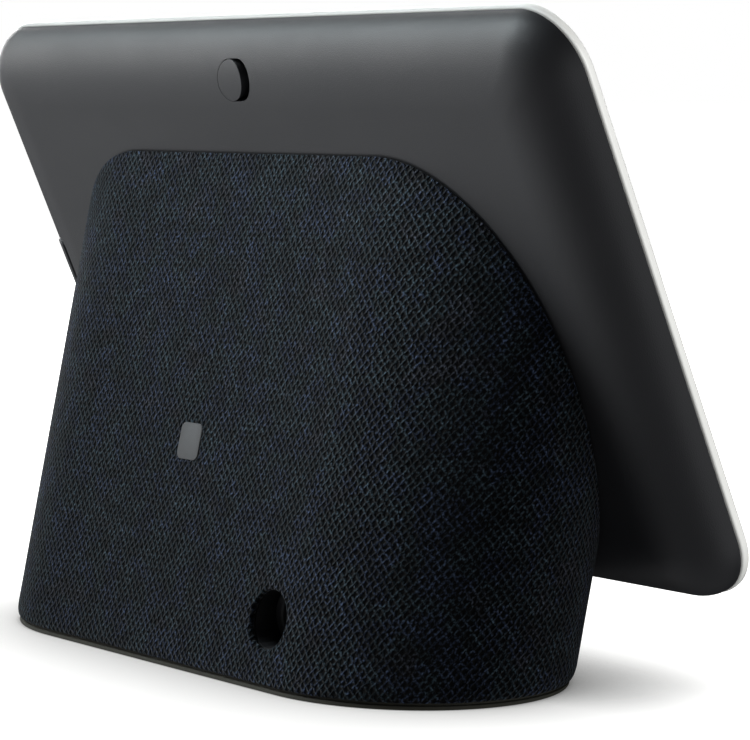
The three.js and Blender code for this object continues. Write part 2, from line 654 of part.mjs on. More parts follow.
function addFabricSleeve() {
  const turn = FABRIC_ROUNDING;
  const outer = baseForm([
    { z: FABRIC_BOTTOM, inset: 0.9 * turn },
    { z: FABRIC_BOTTOM + 0.3 * turn, inset: 0.4 * turn },
    { z: FABRIC_BOTTOM + turn, inset: 0 },
    { z: BASE_TOP, inset: 0 },
  ]);
  const inner = straightBase(FABRIC, 0, BASE_TOP + PAST);
  const sleeve = cut(outer, inner, panelCutter(FIT_GAP), inletBore(INLET.radius, 50, FAR));
  add(base, "fabric_sleeve", sleeve, charcoalFabric());
}

// Upright slots behind the fabric that let the sound out; their ends follow the driver's round.
const GRILLE = { pitch: 4.6, halfWidth: 1, eachSide: 4, reach: 17.5, reachPitch: 3.6, y0: 44, y1: 75 };

function grilleSlots() {
  const slots = [];
  for (let i = -GRILLE.eachSide; i <= GRILLE.eachSide; i += 1) {
    const x = DRIVER.x + i * GRILLE.pitch;
    const reach = Math.sqrt(GRILLE.reach ** 2 - (i * GRILLE.reachPitch) ** 2);
    const sides = [x - GRILLE.halfWidth, x + GRILLE.halfWidth, GRILLE.y0, GRILLE.y1];
    slots.push(boxSolid(...sides, DRIVER.z - reach, DRIVER.z + reach));
  }
  return slots;
}

// A screw post, with a web that ties it to the nearer end wall.
function basePost([x, y], within) {
  const bottom = PLATE_TOP + FIT_GAP;
  const [x0, x1] = x < 0 ? [-FAR, x] : [x, FAR];
  const web = boxSolid(x0, x1, y - 1, y + 1, bottom, POST.top);
  return [rodSolid(POST.radius, bottom, POST.top, x, y), web.intersect(within)];
}

function addBaseCore() {
  const full = straightBase(CORE_INSET, CORE_BOTTOM, BASE_TOP);
  const hollow = straightBase(CORE_INNER, 0, BASE_TOP + PAST);
  const plateSlab = placed(box(-FAR, FAR, -FAR, FAR, -CORE_PLATE.back, -CORE_PLATE.front), head);
  const through = [-CORE_PLATE.back - 2 * PAST, -CORE_PLATE.front + 2 * PAST];
  const plateHoles = [
    prism(cablePort(), ...through),
    ...NECK_SCREWS.map(([x, y]) => rod(NECK_SCREW.plateHole, ...through, x, y)),
  ].map((hole) => placed(hole, head));
  const facePlate = cut(full.intersect(plateSlab), ...plateHoles);
  const inletTube = inletBore(INLET.radius + INLET.wall, INLET.bodyY, FAR).intersect(full);
  const posts = BASE_POSTS.flatMap((post) => basePost(post, full));
  const postHoles = BASE_POSTS.map(([x, y]) => rodSolid(POST.hole, 0, POST.holeTop, x, y));
  const shell = join(cut(full, hollow), facePlate, inletTube, ...posts);
  const core = cut(
    shell,
    inFrontOf(CORE_PLATE.front).intersect(hollow),
    panelCutter(FIT_GAP),
    inletBore(INLET.radius, 40, FAR),
    ...grilleSlots(),
    ...postHoles,
  );
  add(base, "base_core", core, innerPlastic());
}

// The ballast is a rounded steel plate, as half width, half depth, corner, x and y.
const BALLAST_OUTLINE = [45, 12.5, 3, 0, 29.5];
const BALLAST_TOP = 9.6;

function addUnderside() {
  const edge = 0.5;
  const pad = baseForm([
    { z: 0, inset: CORE_INSET + edge },
    { z: edge, inset: CORE_INSET },
    { z: FOOT_TOP, inset: CORE_INSET },
  ]);
  add(base, "foot_pad", pad, footRubber());

  const { shank, head: headRadius, headHeight, top, recess, plateHole } = BASE_SCREW;
  const headTop = CORE_BOTTOM + WELD + headHeight;
  const screwHoles = BASE_POSTS.map(([x, y]) => rodSolid(plateHole, 0, PLATE_TOP + PAST, x, y));
  const headRecesses = BASE_POSTS.map(([x, y]) => rodSolid(recess, 0, headTop + FIT_GAP, x, y));
  const plate = straightBase(CORE_INNER + FIT_GAP, CORE_BOTTOM, PLATE_TOP);
  add(base, "base_plate", cut(plate, ...screwHoles, ...headRecesses), innerPlastic());

  const ballast = prism(roundedRect(...BALLAST_OUTLINE), PLATE_TOP + FIT_GAP, BALLAST_TOP);
  add(base, "ballast_plate", ballast, darkSteel());

  BASE_POSTS.forEach(([x, y], i) => {
    const cap = rodSolid(headRadius, CORE_BOTTOM + WELD, headTop, x, y);
    const stem = rodSolid(shank, headTop - 0.6, top, x, y);
    add(base, "base_screw_" + (i + 1), join(cap, stem), darkSteel());
  });
}

// ---- Loudspeaker --------------------------------------------------------------------------

function enclosureForm(wall, clearance) {
  const { x0, x1, z0, z1, front } = ENCLOSURE;
  const form = straightBase(CORE_INNER + FIT_GAP + wall, 0, BASE_TOP);
  const block = boxSolid(x0 + wall, x1 - wall, -FAR, FAR, z0 + wall, z1 - wall);
  return cut(form.intersect(block), inFrontOf(front + wall + clearance));
}

function addSpeakerEnclosure() {
  const wall = ENCLOSURE.wall;
  const opening = placed(rod(DRIVER.radius + FIT_GAP, -6, 6, 0, 0, DRIVER_SIDES), driver);
  const walls = cut(enclosureForm(0, 0), enclosureForm(wall, 0), opening);
  add(base, "speaker_enclosure", walls, innerPlastic());
}

function addDriver() {
  const basket = [
    [18.9, -1.3],
    [18.9, -2.6],
    [12.6, -8.6],
    [9, -8.6],
    [9, -9.2],
    [13, -9.2],
    [20, -2.4],
    [21.7, -2.4],
    [21.7, 0],
    [20.9, 0],
    [20.9, -1.3],
  ];
  const topPlate = [
    [7.6, -11.5],
    [13.5, -11.5],
    [13.5, -9.5],
    [7.6, -9.5],
  ];
  const magnet = [
    [8.4, -15.8],
    [13.5, -15.8],
    [13.5, -11.8],
    [8.4, -11.8],
  ];
  const yoke = [
    [0, -18.1],
    [13.5, -18.1],
    [13.5, -16.1],
    [6, -16.1],
    [6, -9.5],
    [0, -9.5],
  ];
  const cone = [
    [7.2, -5.4],
    [17, -1.6],
    [17, -1],
    [9.4, -3.9],
    [6.6, -2.6],
    [3.4, -1.9],
    [0, -1.7],
    [0, -2.2],
    [3.3, -2.4],
    [6.4, -3.1],
    [7.2, -3.6],
  ];
  const coil = [
    [6.4, -14],
    [7.1, -14],
    [7.1, -5.7],
    [6.4, -5.7],
  ];
  const surround = [
    [17.3, -1.3],
    [17.9, -0.7],
    [18.9, -0.1],
    [19.9, -0.4],
    [20.6, -1],
    [20.6, -0.5],
    [19.9, 0.1],
    [18.9, 0.4],
    [17.9, -0.2],
    [17.3, -0.8],
  ];
  const spider = [
    [7.5, -7.8],
    [8.7, -7.4],
    [9.9, -7.8],
    [11.1, -7.4],
    [12.2, -7.8],
    [12.2, -7.5],
    [11.1, -7.1],
    [9.9, -7.5],
    [8.7, -7.1],
    [7.5, -7.5],
  ];
  add(driver, "speaker_frame", turned(basket, DRIVER_SIDES), darkSteel());
  add(driver, "speaker_top_plate", turned(topPlate), darkSteel());
  add(driver, "speaker_magnet", turned(magnet), ferrite());
  add(driver, "speaker_yoke", turned(yoke), darkSteel());
  add(driver, "speaker_cone", turned(cone, DRIVER_SIDES), coneCloth());
  add(driver, "speaker_voice_coil", turned(coil), copperFlex());
  add(driver, "speaker_surround", turned(surround, DRIVER_SIDES), foam());
  add(driver, "speaker_spider", turned(spider), foam());
}

// ---- Power inlet --------------------------------------------------------------------------

const JACK = { socket: 2.75, floorY: 49.9, pinHole: 1.15, pin: 0.85, pinEndY: 44.4 };
const JACK_BOARD = { halfWidth: 6.5, y0: 45.2, y1: 46.4, z0: 6, z1: 18.4 };

function addPowerInlet() {
  const { x, z, faceY, bodyY } = INLET;
  const pinHole = solid(rodAlongY(JACK.pinHole, 40, faceY, x, z, SMALL_SIDES));
  const barrel = solid(rodAlongY(INLET.radius - FIT_GAP, bodyY, faceY, x, z));
  const socket = solid(rodAlongY(JACK.socket, JACK.floorY, faceY + PAST, x, z));
  add(base, "power_jack_body", cut(barrel, socket, pinHole), innerPlastic());
  add(base, "power_jack_pin", rodAlongY(JACK.pin, JACK.pinEndY, faceY - 1, x, z, SMALL_SIDES), sheetMetal());
  const { halfWidth, y0, y1, z0, z1 } = JACK_BOARD;
  const board = boxSolid(x - halfWidth, x + halfWidth, y0, y1, z0, z1);
  add(base, "power_jack_board", cut(board, pinHole), boardGreen());
}

// Internal wiring: both cables pass through the port in the neck and end behind the main board.
const POWER_CABLE_RADIUS = 1.25;
const SPEAKER_CABLE_RADIUS = 0.9;

function addCables() {
  const boardBack = -BOARD.back - FIT_GAP;
  const power = [
    new THREE.Vector3(INLET.x, 44.6, 16),
    new THREE.Vector3(INLET.x, 39, 18),
    new THREE.Vector3(INLET.x, 34, 28),
    panelPoint(-29, -21, -15.8),
    panelPoint(-16, -23, -15.3),
    panelPoint(-8, -23, -13.4),
    panelPoint(-6, -23, -10.5),
    panelPoint(-6, -23, boardBack - 0.1),
  ];
  const speaker = [
    panelPoint(-24.9, -5, -24),
    panelPoint(-25.1, -8, -19),
    panelPoint(-23, -13, -15.6),
    panelPoint(-10, -19, -15.2),
    panelPoint(2, -22.4, -14.4),
    panelPoint(6, -23, -11.5),
    panelPoint(6, -23, boardBack - 0.1),
  ];
  add(base, "power_cable", tube(power, POWER_CABLE_RADIUS, 32), cableBlack());
  add(base, "speaker_cable", tube(speaker, SPEAKER_CABLE_RADIUS, 28), cableBlack());
}

addCoverGlass();
addBezelFrame();
addDisplayModule();
addDisplayFlex();
addElectronics();
addSensors();
addRearHousing();
addMuteSlider();
addMuteSwitch();
addVolumeRocker();
addVolumeSwitches();
addNeck();
addFabricSleeve();
addBaseCore();
addUnderside();
addSpeakerEnclosure();
addDriver();
addPowerInlet();
addCables();

export default product;
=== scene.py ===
"""A tabletop smart display seen from behind: fine surfaces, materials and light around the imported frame."""

import json
import math

import bmesh
import bpy
from mathutils import Matrix, Vector
from mathutils.bvhtree import BVHTree


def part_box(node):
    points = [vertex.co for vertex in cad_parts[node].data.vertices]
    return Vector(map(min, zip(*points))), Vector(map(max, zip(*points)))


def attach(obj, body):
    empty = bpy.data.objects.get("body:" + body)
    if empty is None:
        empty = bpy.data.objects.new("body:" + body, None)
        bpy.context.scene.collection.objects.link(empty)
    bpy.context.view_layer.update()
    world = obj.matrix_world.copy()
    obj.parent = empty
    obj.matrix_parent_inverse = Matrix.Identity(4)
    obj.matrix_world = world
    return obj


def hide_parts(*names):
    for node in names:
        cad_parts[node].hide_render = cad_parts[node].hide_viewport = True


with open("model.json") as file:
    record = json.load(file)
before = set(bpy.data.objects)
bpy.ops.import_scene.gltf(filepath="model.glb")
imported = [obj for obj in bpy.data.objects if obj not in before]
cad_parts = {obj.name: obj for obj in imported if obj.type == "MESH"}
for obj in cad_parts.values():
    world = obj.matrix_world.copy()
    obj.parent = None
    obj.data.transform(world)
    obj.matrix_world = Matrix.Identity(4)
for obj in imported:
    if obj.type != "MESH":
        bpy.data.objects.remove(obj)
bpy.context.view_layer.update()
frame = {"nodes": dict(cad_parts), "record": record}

# ---- Sizes, in millimetres ----------------------------------------------------------------

METRES = Matrix.Scale(0.001, 4)

# The panel: outline, tilt, rim and soft edge.
PANEL_WIDTH = 178.5
PANEL_HEIGHT = 110.2
PANEL_CORNER = 12
PANEL_TILT = math.radians(23.8)
RIM_DEPTH = 1.6
RIM_ROUNDING = 0.45
SHELL_SETBACK = 0.35
SHELL_FRONT = 1.9
SHELL_WALL = 1.6
SOFT_INSET = 14.3
SOFT_DEPTH = 9.1
SOFT_STEPS = 28
CORNER_STEPS = 20
SIDE_STEPS = 10
LEAST_CORNER = 1.2
SOFT_LEAST_CORNER = 5

# Edges that turn by more than this aren't smoothed.
SHARP = math.radians(40)
SHARP_SOCKET = math.radians(30)

# The front: the glass in its lip, the border shelf and what shows through it.
GLASS_INSET = 1
GLASS_FRONT = 0.05
GLASS_BACK = 0.7
BEZEL_LIP = 0.7
BEZEL_SHELF = 1
BEZEL_BORDER = 10.6
RIB = {"outer": 2.3, "inner": 3.8, "back": 3.2}
SENSOR_Y = 49.3
MIC_X = 22
MIC_HOLE = 0.6
SENSOR_HOLE = 1.8

# Mute slider and volume rocker. The closed surfaces of one piece reach into each other by OVERLAP at most.
OVERLAP = 0.2
FLANGE_ROUNDING = 0.15
MUTE_SLOT = {"x": -1.9, "y": 45.95, "half_length": 5.05, "half_height": 3.8}
MUTE_REST_X = -0.6
MUTE_RADIUS = 3.7
MUTE_DROP = 0.06
MUTE_FLANGE = {"back": 7.7, "front": 6.9, "y0": 37.2, "y1": 46.4, "half_width": 7.6}
MUTE_PRONG = {"offset": 2, "half_width": 0.6, "length": 3}
ROCKER_ANGLE = math.radians(55)
ROCKER = {"half_length": 10.5, "half_width": 2.2, "proud": 0.35, "gap": 0.3, "crown": 16.5}
ROCKER_FLANGE = {"half_width": 2, "half_length": 11.6, "back": 2.95, "front": 2.35}

# The base: two straight sides closed by half ellipses, leaning forward as it rises.
BASE_STRAIGHT = 37.5
BASE_HALF_WIDTH = 70.1
BASE_HALF_WIDTH_RISE = 3.2 / 90
BASE_REAR = 67.4
BASE_REAR_RISE = -21.5 / 90
BASE_HALF_DEPTH = 28.7
BASE_HALF_DEPTH_RISE = -1.75 / 90
BASE_HALF_HEIGHT = 45
STRAIGHT_STEPS = 52
END_STEPS = 68

# The sleeve, the foot under it and the power inlet in its rear.
FABRIC = 1
SLEEVE_GAP = 0.3
SLEEVE_ROWS = 64
SLEEVE_BOTTOM = 1.2
TOP_ROUNDING = 0.35
BOTTOM_TUCK = 0.7
BOTTOM_CURL = 2.4
FOOT_INSET = 1.3
FOOT_LIP = 0.8
FOOT_LIP_TOP = 0.65
FOOT_TOP = 2
INLET = {"x": -32.5, "z": 12.2, "radius": 5.1, "rounding": 0.6, "face_y": 59.4}
INLET_WINDOW = 8.4
JACK = {"socket": 2.75, "floor_y": 49.9, "back_y": 47, "clearance": 0.3, "edge": 0.3}
PIN = {"radius": 0.85, "hole": 1.15, "back_y": 44.4, "drop": 1, "tip": 0.02}

# Plain weave on the diagonal: how often its pattern repeats round the base and in a millimetre of
# height, and how many repeats it drifts up on its way round, and round for each millimetre up.
WEAVE_REPEATS_ROUND = 221
WEAVE_REPEATS_UP = 0.542
WEAVE_DRIFT_ROUND = -7
WEAVE_DRIFT_UP = -0.015

# The plain patch on the rear of the sleeve.
PATCH = {"x": 1.0, "z": 40.0, "half": 3.3, "corner": 1.3, "thick": 0.12, "depth": 0.3, "edge": 0.05}

# ---- Frames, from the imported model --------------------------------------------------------

lower_front, upper_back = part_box("bezel_frame")
BASE_Y = lower_front.y * 1000
OVERALL_HEIGHT = upper_back.z * 1000
HALF_WIDTH = PANEL_WIDTH / 2
HALF_HEIGHT = PANEL_HEIGHT / 2
PANEL = Matrix.Translation(
    (
        0,
        BASE_Y + HALF_HEIGHT * math.sin(PANEL_TILT),
        OVERALL_HEIGHT - HALF_HEIGHT * math.cos(PANEL_TILT),
    )
) @ Matrix.Rotation(math.pi / 2 - PANEL_TILT, 4, "X")
TO_PANEL = PANEL.inverted()
ROCKER_LEAN = math.atan2(SOFT_INSET * math.sin(ROCKER_ANGLE), SOFT_DEPTH * math.cos(ROCKER_ANGLE))
ROCKER_FRAME = (
    PANEL
    @ Matrix.Translation(
        (
            HALF_WIDTH - SHELL_SETBACK - SOFT_INSET * (1 - math.cos(ROCKER_ANGLE)),
            0,
            -RIM_DEPTH - SOFT_DEPTH * math.sin(ROCKER_ANGLE),
        )
    )
    @ Matrix.Rotation(ROCKER_LEAN + math.pi / 2, 4, "Y")
)


# ---- Shader nodes -------------------------------------------------------------------------


def add_node(tree, kind, settings=None, **inputs):
    """A new node with its properties from settings and its sockets from inputs, as values or as links."""
    node = tree.nodes.new(kind)
    for name, value in (settings or {}).items():
        setattr(node, name, value)
    for name, value in inputs.items():
        plain = name.replace("_", " ")
        socket = node.inputs[int(plain[5:])] if plain.startswith("Input") else node.inputs[plain]
        if isinstance(value, bpy.types.NodeSocket):
            tree.links.new(value, socket)
        else:
            socket.default_value = value
    return node


def maths(tree, operation, *values):
    inputs = {f"Input{i}": value for i, value in enumerate(values)}
    return add_node(tree, "ShaderNodeMath", {"operation": operation}, **inputs).outputs["Value"]


def vector_maths(tree, operation, *values):
    inputs = {f"Input{i}": value for i, value in enumerate(values)}
    return add_node(tree, "ShaderNodeVectorMath", {"operation": operation}, **inputs).outputs["Vector"]


def blend_colours(tree, share, first, second):
    mix = add_node(tree, "ShaderNodeMix", {"data_type": "RGBA"})
    for socket, value in ((mix.inputs[0], share), (mix.inputs[6], first), (mix.inputs[7], second)):
        if isinstance(value, bpy.types.NodeSocket):
            tree.links.new(value, socket)
        else:
            socket.default_value = value
    return mix.outputs[2]


def spread(tree, value, low, high, from_low=0.3, from_high=0.7, smooth=False):
    """Carries a value from one range to another, clamped."""
    settings = {"interpolation_type": "SMOOTHSTEP"} if smooth else {}
    node = add_node(tree, "ShaderNodeMapRange", settings, Value=value)
    node.inputs["From Min"].default_value = from_low
    node.inputs["From Max"].default_value = from_high
    node.inputs["To Min"].default_value = low
    node.inputs["To Max"].default_value = high
    return node.outputs["Result"]


def shade(color, factor):
    return (*(channel * factor for channel in color), 1)


def new_material(name, color, roughness, metallic=0.0, **sockets):
    material = bpy.data.materials.new(name)
    material.use_nodes = True
    material.diffuse_color = (*color, 1)
    shader = material.node_tree.nodes["Principled BSDF"]
    shader.inputs["Base Color"].default_value = (*color, 1)
    shader.inputs["Roughness"].default_value = roughness
    shader.inputs["Metallic"].default_value = metallic
    for socket, value in sockets.items():
        shader.inputs[socket.replace("_", " ")].default_value = value
    return material, material.node_tree, shader


# ---- Camera and light ---------------------------------------------------------------------

# The camera stands behind the display, to its -X side, a little above the table. Distances are in metres.
CAMERA_AIM = Vector((0.0115, -0.0257, 0.0528))
CAMERA_AZIMUTH = math.radians(232.48)
CAMERA_ELEVATION = math.radians(4.76)
CAMERA_DISTANCE = 0.5938
CAMERA_LENS = 146.03
CAMERA_SHIFT = (0.0037, -0.0218)

# The floor takes the lamps' shadows near the display, and glows white farther out: both pairs run from
# near to far. Its contact shadow reaches FLOOR_CONTACT metres.
FLOOR_SIZE = 60
FLOOR_SHADOWS = (0.16, 0.5)
FLOOR_GLOW = (0.75, 1.1)
FLOOR_CONTACT = 0.03
# The room's light: what comes from straight below, and soft patches as (azimuth, elevation, strength).
# A patch ends where the cosine of the angle from its middle is GLOW_EDGE.
GLOW_EDGE = 0.62
ROOM_BELOW = 0.155
ROOM_GLOWS = [(128, -18, 0.88), (285, -10, 0.74), (230, -20, 0.125)]

# Lamps on the display: direction in degrees, distance, size, power, beam and the height they look at.
COOL = (0.92, 1.02, 1.06)
LAMPS = {
    "key": dict(
        azimuth=130, elevation=40, distance=0.6, size=0.4, power=0.4, spread=46, height=0.16, color=COOL
    ),
    "side": dict(azimuth=70, elevation=10, distance=0.6, size=0.4, power=0.21, spread=30, height=0.17),
    "low": dict(azimuth=120, elevation=14, distance=0.6, size=0.4, power=0.15, spread=44, height=0.17),
    "front": dict(azimuth=42, elevation=32, distance=1.2, size=0.8, power=8),
}
# One lamp lights the sleeve alone and one the rim alone.
SLEEVE_LAMP = dict(
    azimuth=150, elevation=20, distance=0.6, size=0.16, power=0.1, spread=30, height=0.19, color=COOL
)
RIM_LAMP = dict(azimuth=262, elevation=6, distance=1.0, size=0.6, power=8.5)
# Broad lamps for the floor alone, which make its soft shadows, as (azimuth, elevation, power).
FLOOR_LAMP_DISTANCE = 1.1
FLOOR_LAMP_SIZE = 0.9
FLOOR_LAMPS = [(0, 30, 6.6), (45, 30, 6.3), (112, 30, 0.9), (180, 30, 5.6), (270, 72, 2.6)]


def direction(azimuth, elevation):
    """The way out from the object at an azimuth and elevation, with azimuth 0 in front of the screen."""
    level = math.cos(elevation)
    return Vector((math.sin(azimuth) * level, -math.cos(azimuth) * level, math.sin(elevation)))


def add_camera():
    data = bpy.data.cameras.new("camera")
    data.lens = CAMERA_LENS
    data.shift_x, data.shift_y = CAMERA_SHIFT
    camera = bpy.data.objects.new("camera", data)
    back = direction(CAMERA_AZIMUTH, CAMERA_ELEVATION)
    camera.location = CAMERA_AIM + back * CAMERA_DISTANCE
    camera.rotation_mode = "QUATERNION"
    camera.rotation_quaternion = (-back).to_track_quat("-Z", "Y")
    bpy.context.scene.collection.objects.link(camera)
    bpy.context.scene.camera = camera


def choose_lit(light, thing, state):
    """Lets a light fall only on one thing (INCLUDE) or on everything but it (EXCLUDE)."""
    group = bpy.data.collections.new(f"{state.lower()}_{light.name}")
    group.objects.link(thing)
    group.collection_objects[0].light_linking.link_state = state
    light.light_linking.receiver_collection = group


def add_softbox(
    name, azimuth, elevation, distance, size, power, spread=180, height=0.06, color=(1, 1, 1)
):
    """A square area light that looks at a height on the object's axis."""
    data = bpy.data.lights.new(name, "AREA")
    data.shape = "SQUARE"
    data.size = size
    data.energy = power
    data.color = color
    data.spread = math.radians(spread)
    light = bpy.data.objects.new(name, data)
    back = direction(math.radians(azimuth), math.radians(elevation))
    light.location = back * distance + Vector((0, 0, height))
    light.rotation_mode = "QUATERNION"
    light.rotation_quaternion = (-back).to_track_quat("-Z", "Y")
    bpy.context.scene.collection.objects.link(light)
    return light


def glow_toward(tree, where, azimuth, elevation, strength):
    """A soft round patch of light in one direction of the room."""
    middle = direction(math.radians(azimuth), math.radians(elevation))
    side = add_node(tree, "ShaderNodeVectorMath", {"operation": "DOT_PRODUCT"}, Input0=where, Input1=middle)
    return spread(tree, side.outputs["Value"], 0, strength, GLOW_EDGE, 1, smooth=True)


def add_world():
    """A white backdrop to look at, in a dark room with a few soft patches of light near the floor."""
    world = bpy.data.worlds.new("studio")
    bpy.context.scene.world = world
    world.use_nodes = True
    tree = world.node_tree
    tree.nodes.clear()
    where = tree.nodes.new("ShaderNodeTexCoord").outputs["Generated"]
    total = glow_toward(tree, where, 0, -90, ROOM_BELOW)
    for azimuth, elevation, strength in ROOM_GLOWS:
        total = maths(tree, "ADD", total, glow_toward(tree, where, azimuth, elevation, strength))
    room = add_node(tree, "ShaderNodeBackground", Color=(0.95, 0.97, 1, 1), Strength=total)
    backdrop = add_node(tree, "ShaderNodeBackground", Color=(1, 1, 1, 1))
    seen = tree.nodes.new("ShaderNodeLightPath").outputs["Is Camera Ray"]
    choice = [room.outputs["Background"], backdrop.outputs["Background"]]
    mix = add_node(tree, "ShaderNodeMixShader", Input0=seen, Input1=choice[0], Input2=choice[1])
    add_node(tree, "ShaderNodeOutputWorld", Surface=mix.outputs["Shader"])


def floor_material():
    """White, with a contact shadow close to the display, and a glow that grows with distance from it."""
    white = (0.95, 0.95, 0.94)
    material, tree, shader = new_material("floor", white, 0.6, Specular_IOR_Level=0.0)
    contact = add_node(tree, "ShaderNodeAmbientOcclusion", Color=(*white, 1), Distance=FLOOR_CONTACT)
    tree.links.new(contact.outputs["Color"], shader.inputs["Base Color"])
    tree.links.new(contact.outputs["Color"], shader.inputs["Emission Color"])
    where = tree.nodes.new("ShaderNodeTexCoord").outputs["Object"]
    far = add_node(tree, "ShaderNodeVectorMath", {"operation": "LENGTH"}, Input0=where).outputs["Value"]
    glow = spread(tree, far, *FLOOR_GLOW, *FLOOR_SHADOWS, smooth=True)
    tree.links.new(glow, shader.inputs["Emission Strength"])
    return material


def add_floor():
    """A pale table that runs out to the horizon and sends no light back up to the display."""
    size = FLOOR_SIZE
    corners = [(-size, -size, 0), (size, -size, 0), (size, size, 0), (-size, size, 0)]
    mesh = bpy.data.meshes.new("floor")
    mesh.from_pydata(corners, [], [(0, 1, 2, 3)])
    mesh.materials.append(floor_material())
    floor = bpy.data.objects.new("floor", mesh)
    floor.visible_diffuse = False
    floor.visible_glossy = False
    floor.visible_shadow = False
    bpy.context.scene.collection.objects.link(floor)
    return floor


# ---- Materials ----------------------------------------------------------------------------


def noise(tree, scale, detail=2.0, stretch=None):
    """Noise in the object's own space, with about scale lumps to the metre."""
    where = tree.nodes.new("ShaderNodeTexCoord").outputs["Object"]
    if stretch:
        where = add_node(tree, "ShaderNodeMapping", Vector=where, Scale=stretch).outputs["Vector"]
    node = add_node(tree, "ShaderNodeTexNoise", Vector=where, Scale=scale, Detail=detail)
    return node.outputs["Fac"]


def surface(
    name,
    color,
    roughness,
    metallic=0.0,
    mottle=0.12,
    mottle_scale=60,
    grain_scale=2500,
    grain_depth=0.00002,
    stretch=None,
    **sockets,
):
    """A moulded, cast or rolled finish: slow mottling of tone and gloss, and a fine grain in relief."""
    material, tree, shader = new_material(name, color, roughness, metallic, **sockets)
    slow = noise(tree, mottle_scale, 3)
    tone = blend_colours(tree, spread(tree, slow, 0, 1), shade(color, 1 - mottle), shade(color, 1 + mottle))
    tree.links.new(tone, shader.inputs["Base Color"])
    gloss = spread(tree, slow, roughness * 0.94, min(roughness * 1.06, 1))
    tree.links.new(gloss, shader.inputs["Roughness"])
    fine = noise(tree, grain_scale, 2, stretch)
    bump = add_node(tree, "ShaderNodeBump", Height=fine, Distance=grain_depth, Strength=1.0)
    tree.links.new(bump.outputs["Normal"], shader.inputs["Normal"])
    return material


def shell_material():
    return surface(
        "shell", (0.0385, 0.0384, 0.0415), 0.48, mottle=0.04, grain_scale=5500, grain_depth=0.00004
    )


def rim_material():
    return surface("rim", (0.72, 0.72, 0.69), 0.38, mottle=0.02, grain_scale=3000, grain_depth=0.000006)


def rubber_material():
    return surface("rubber", (0.047, 0.045, 0.032), 0.8, mottle=0.2, mottle_scale=300, grain_depth=0.00005)


def glass_material():
    material, tree, shader = new_material("glass", (0.97, 0.975, 0.97), 0.02, IOR=1.5)
    shader.inputs["Transmission Weight"].default_value = 1.0
    smear = noise(tree, 35, 3)
    tree.links.new(spread(tree, smear, 0.015, 0.05), shader.inputs["Roughness"])
    return material


def screen_material():
    return surface(
        "screen", (0.006, 0.007, 0.009), 0.16, mottle=0.1, grain_scale=900, grain_depth=0.000002, IOR=1.5
    )


def board_material():
    """Green solder mask with paler traces under it."""
    material, tree, shader = new_material("board", (0.01, 0.055, 0.028), 0.42)
    where = tree.nodes.new("ShaderNodeTexCoord").outputs["Object"]
    traces = add_node(tree, "ShaderNodeTexVoronoi", {"distance": "CHEBYCHEV"}, Vector=where, Scale=260.0)
    on_trace = spread(tree, traces.outputs["Distance"], 1, 0, 0.30, 0.36)
    tone = blend_colours(tree, on_trace, (0.008, 0.045, 0.024, 1), (0.018, 0.095, 0.046, 1))
    tree.links.new(tone, shader.inputs["Base Color"])
    bump = add_node(tree, "ShaderNodeBump", Height=on_trace, Distance=0.00003, Strength=1.0)
    tree.links.new(bump.outputs["Normal"], shader.inputs["Normal"])
    return material


def brushed(name, color, roughness):
    return surface(
        name, color, roughness, 1.0, mottle=0.06, grain_scale=1800, grain_depth=0.000006, stretch=(0.04, 1, 1)
    )


def woven_cone():
    return surface("cone", (0.014, 0.014, 0.015), 0.85, mottle=0.3, grain_scale=1400, grain_depth=0.00008)


YARN_GREEN = (0.0104, 0.0162, 0.0207, 1)
YARN_BLUE = (0.0110, 0.0156, 0.0274, 1)
YARN_BROWN = (0.0130, 0.0145, 0.0195, 1)
YARN_SHADOW = (0.0008, 0.0011, 0.0016, 1)
STRAND_SHARPNESS = 2.1
# How far a strand sinks where it goes under, of its height, and how far the weave strays from straight.
STRAND_DIP = 0.14
STRAND_WANDER = 0.42
# Noise that breaks the strands up, in lumps for each repeat of the pattern, and what it does to their tone.
STRAND_LUMPS = 2.3
FIBRE_LUMPS = 4.6
LUMP_TONE = (0.1, 2.6, 0.34, 0.68)


def strand_profile(tree, turns):
    """A rounded strand's height across its width, once for each whole turn."""
    wave = maths(tree, "COSINE", maths(tree, "MULTIPLY", turns, 2 * math.pi))
    return maths(tree, "POWER", maths(tree, "MULTIPLY_ADD", wave, 0.5, 0.5), STRAND_SHARPNESS)


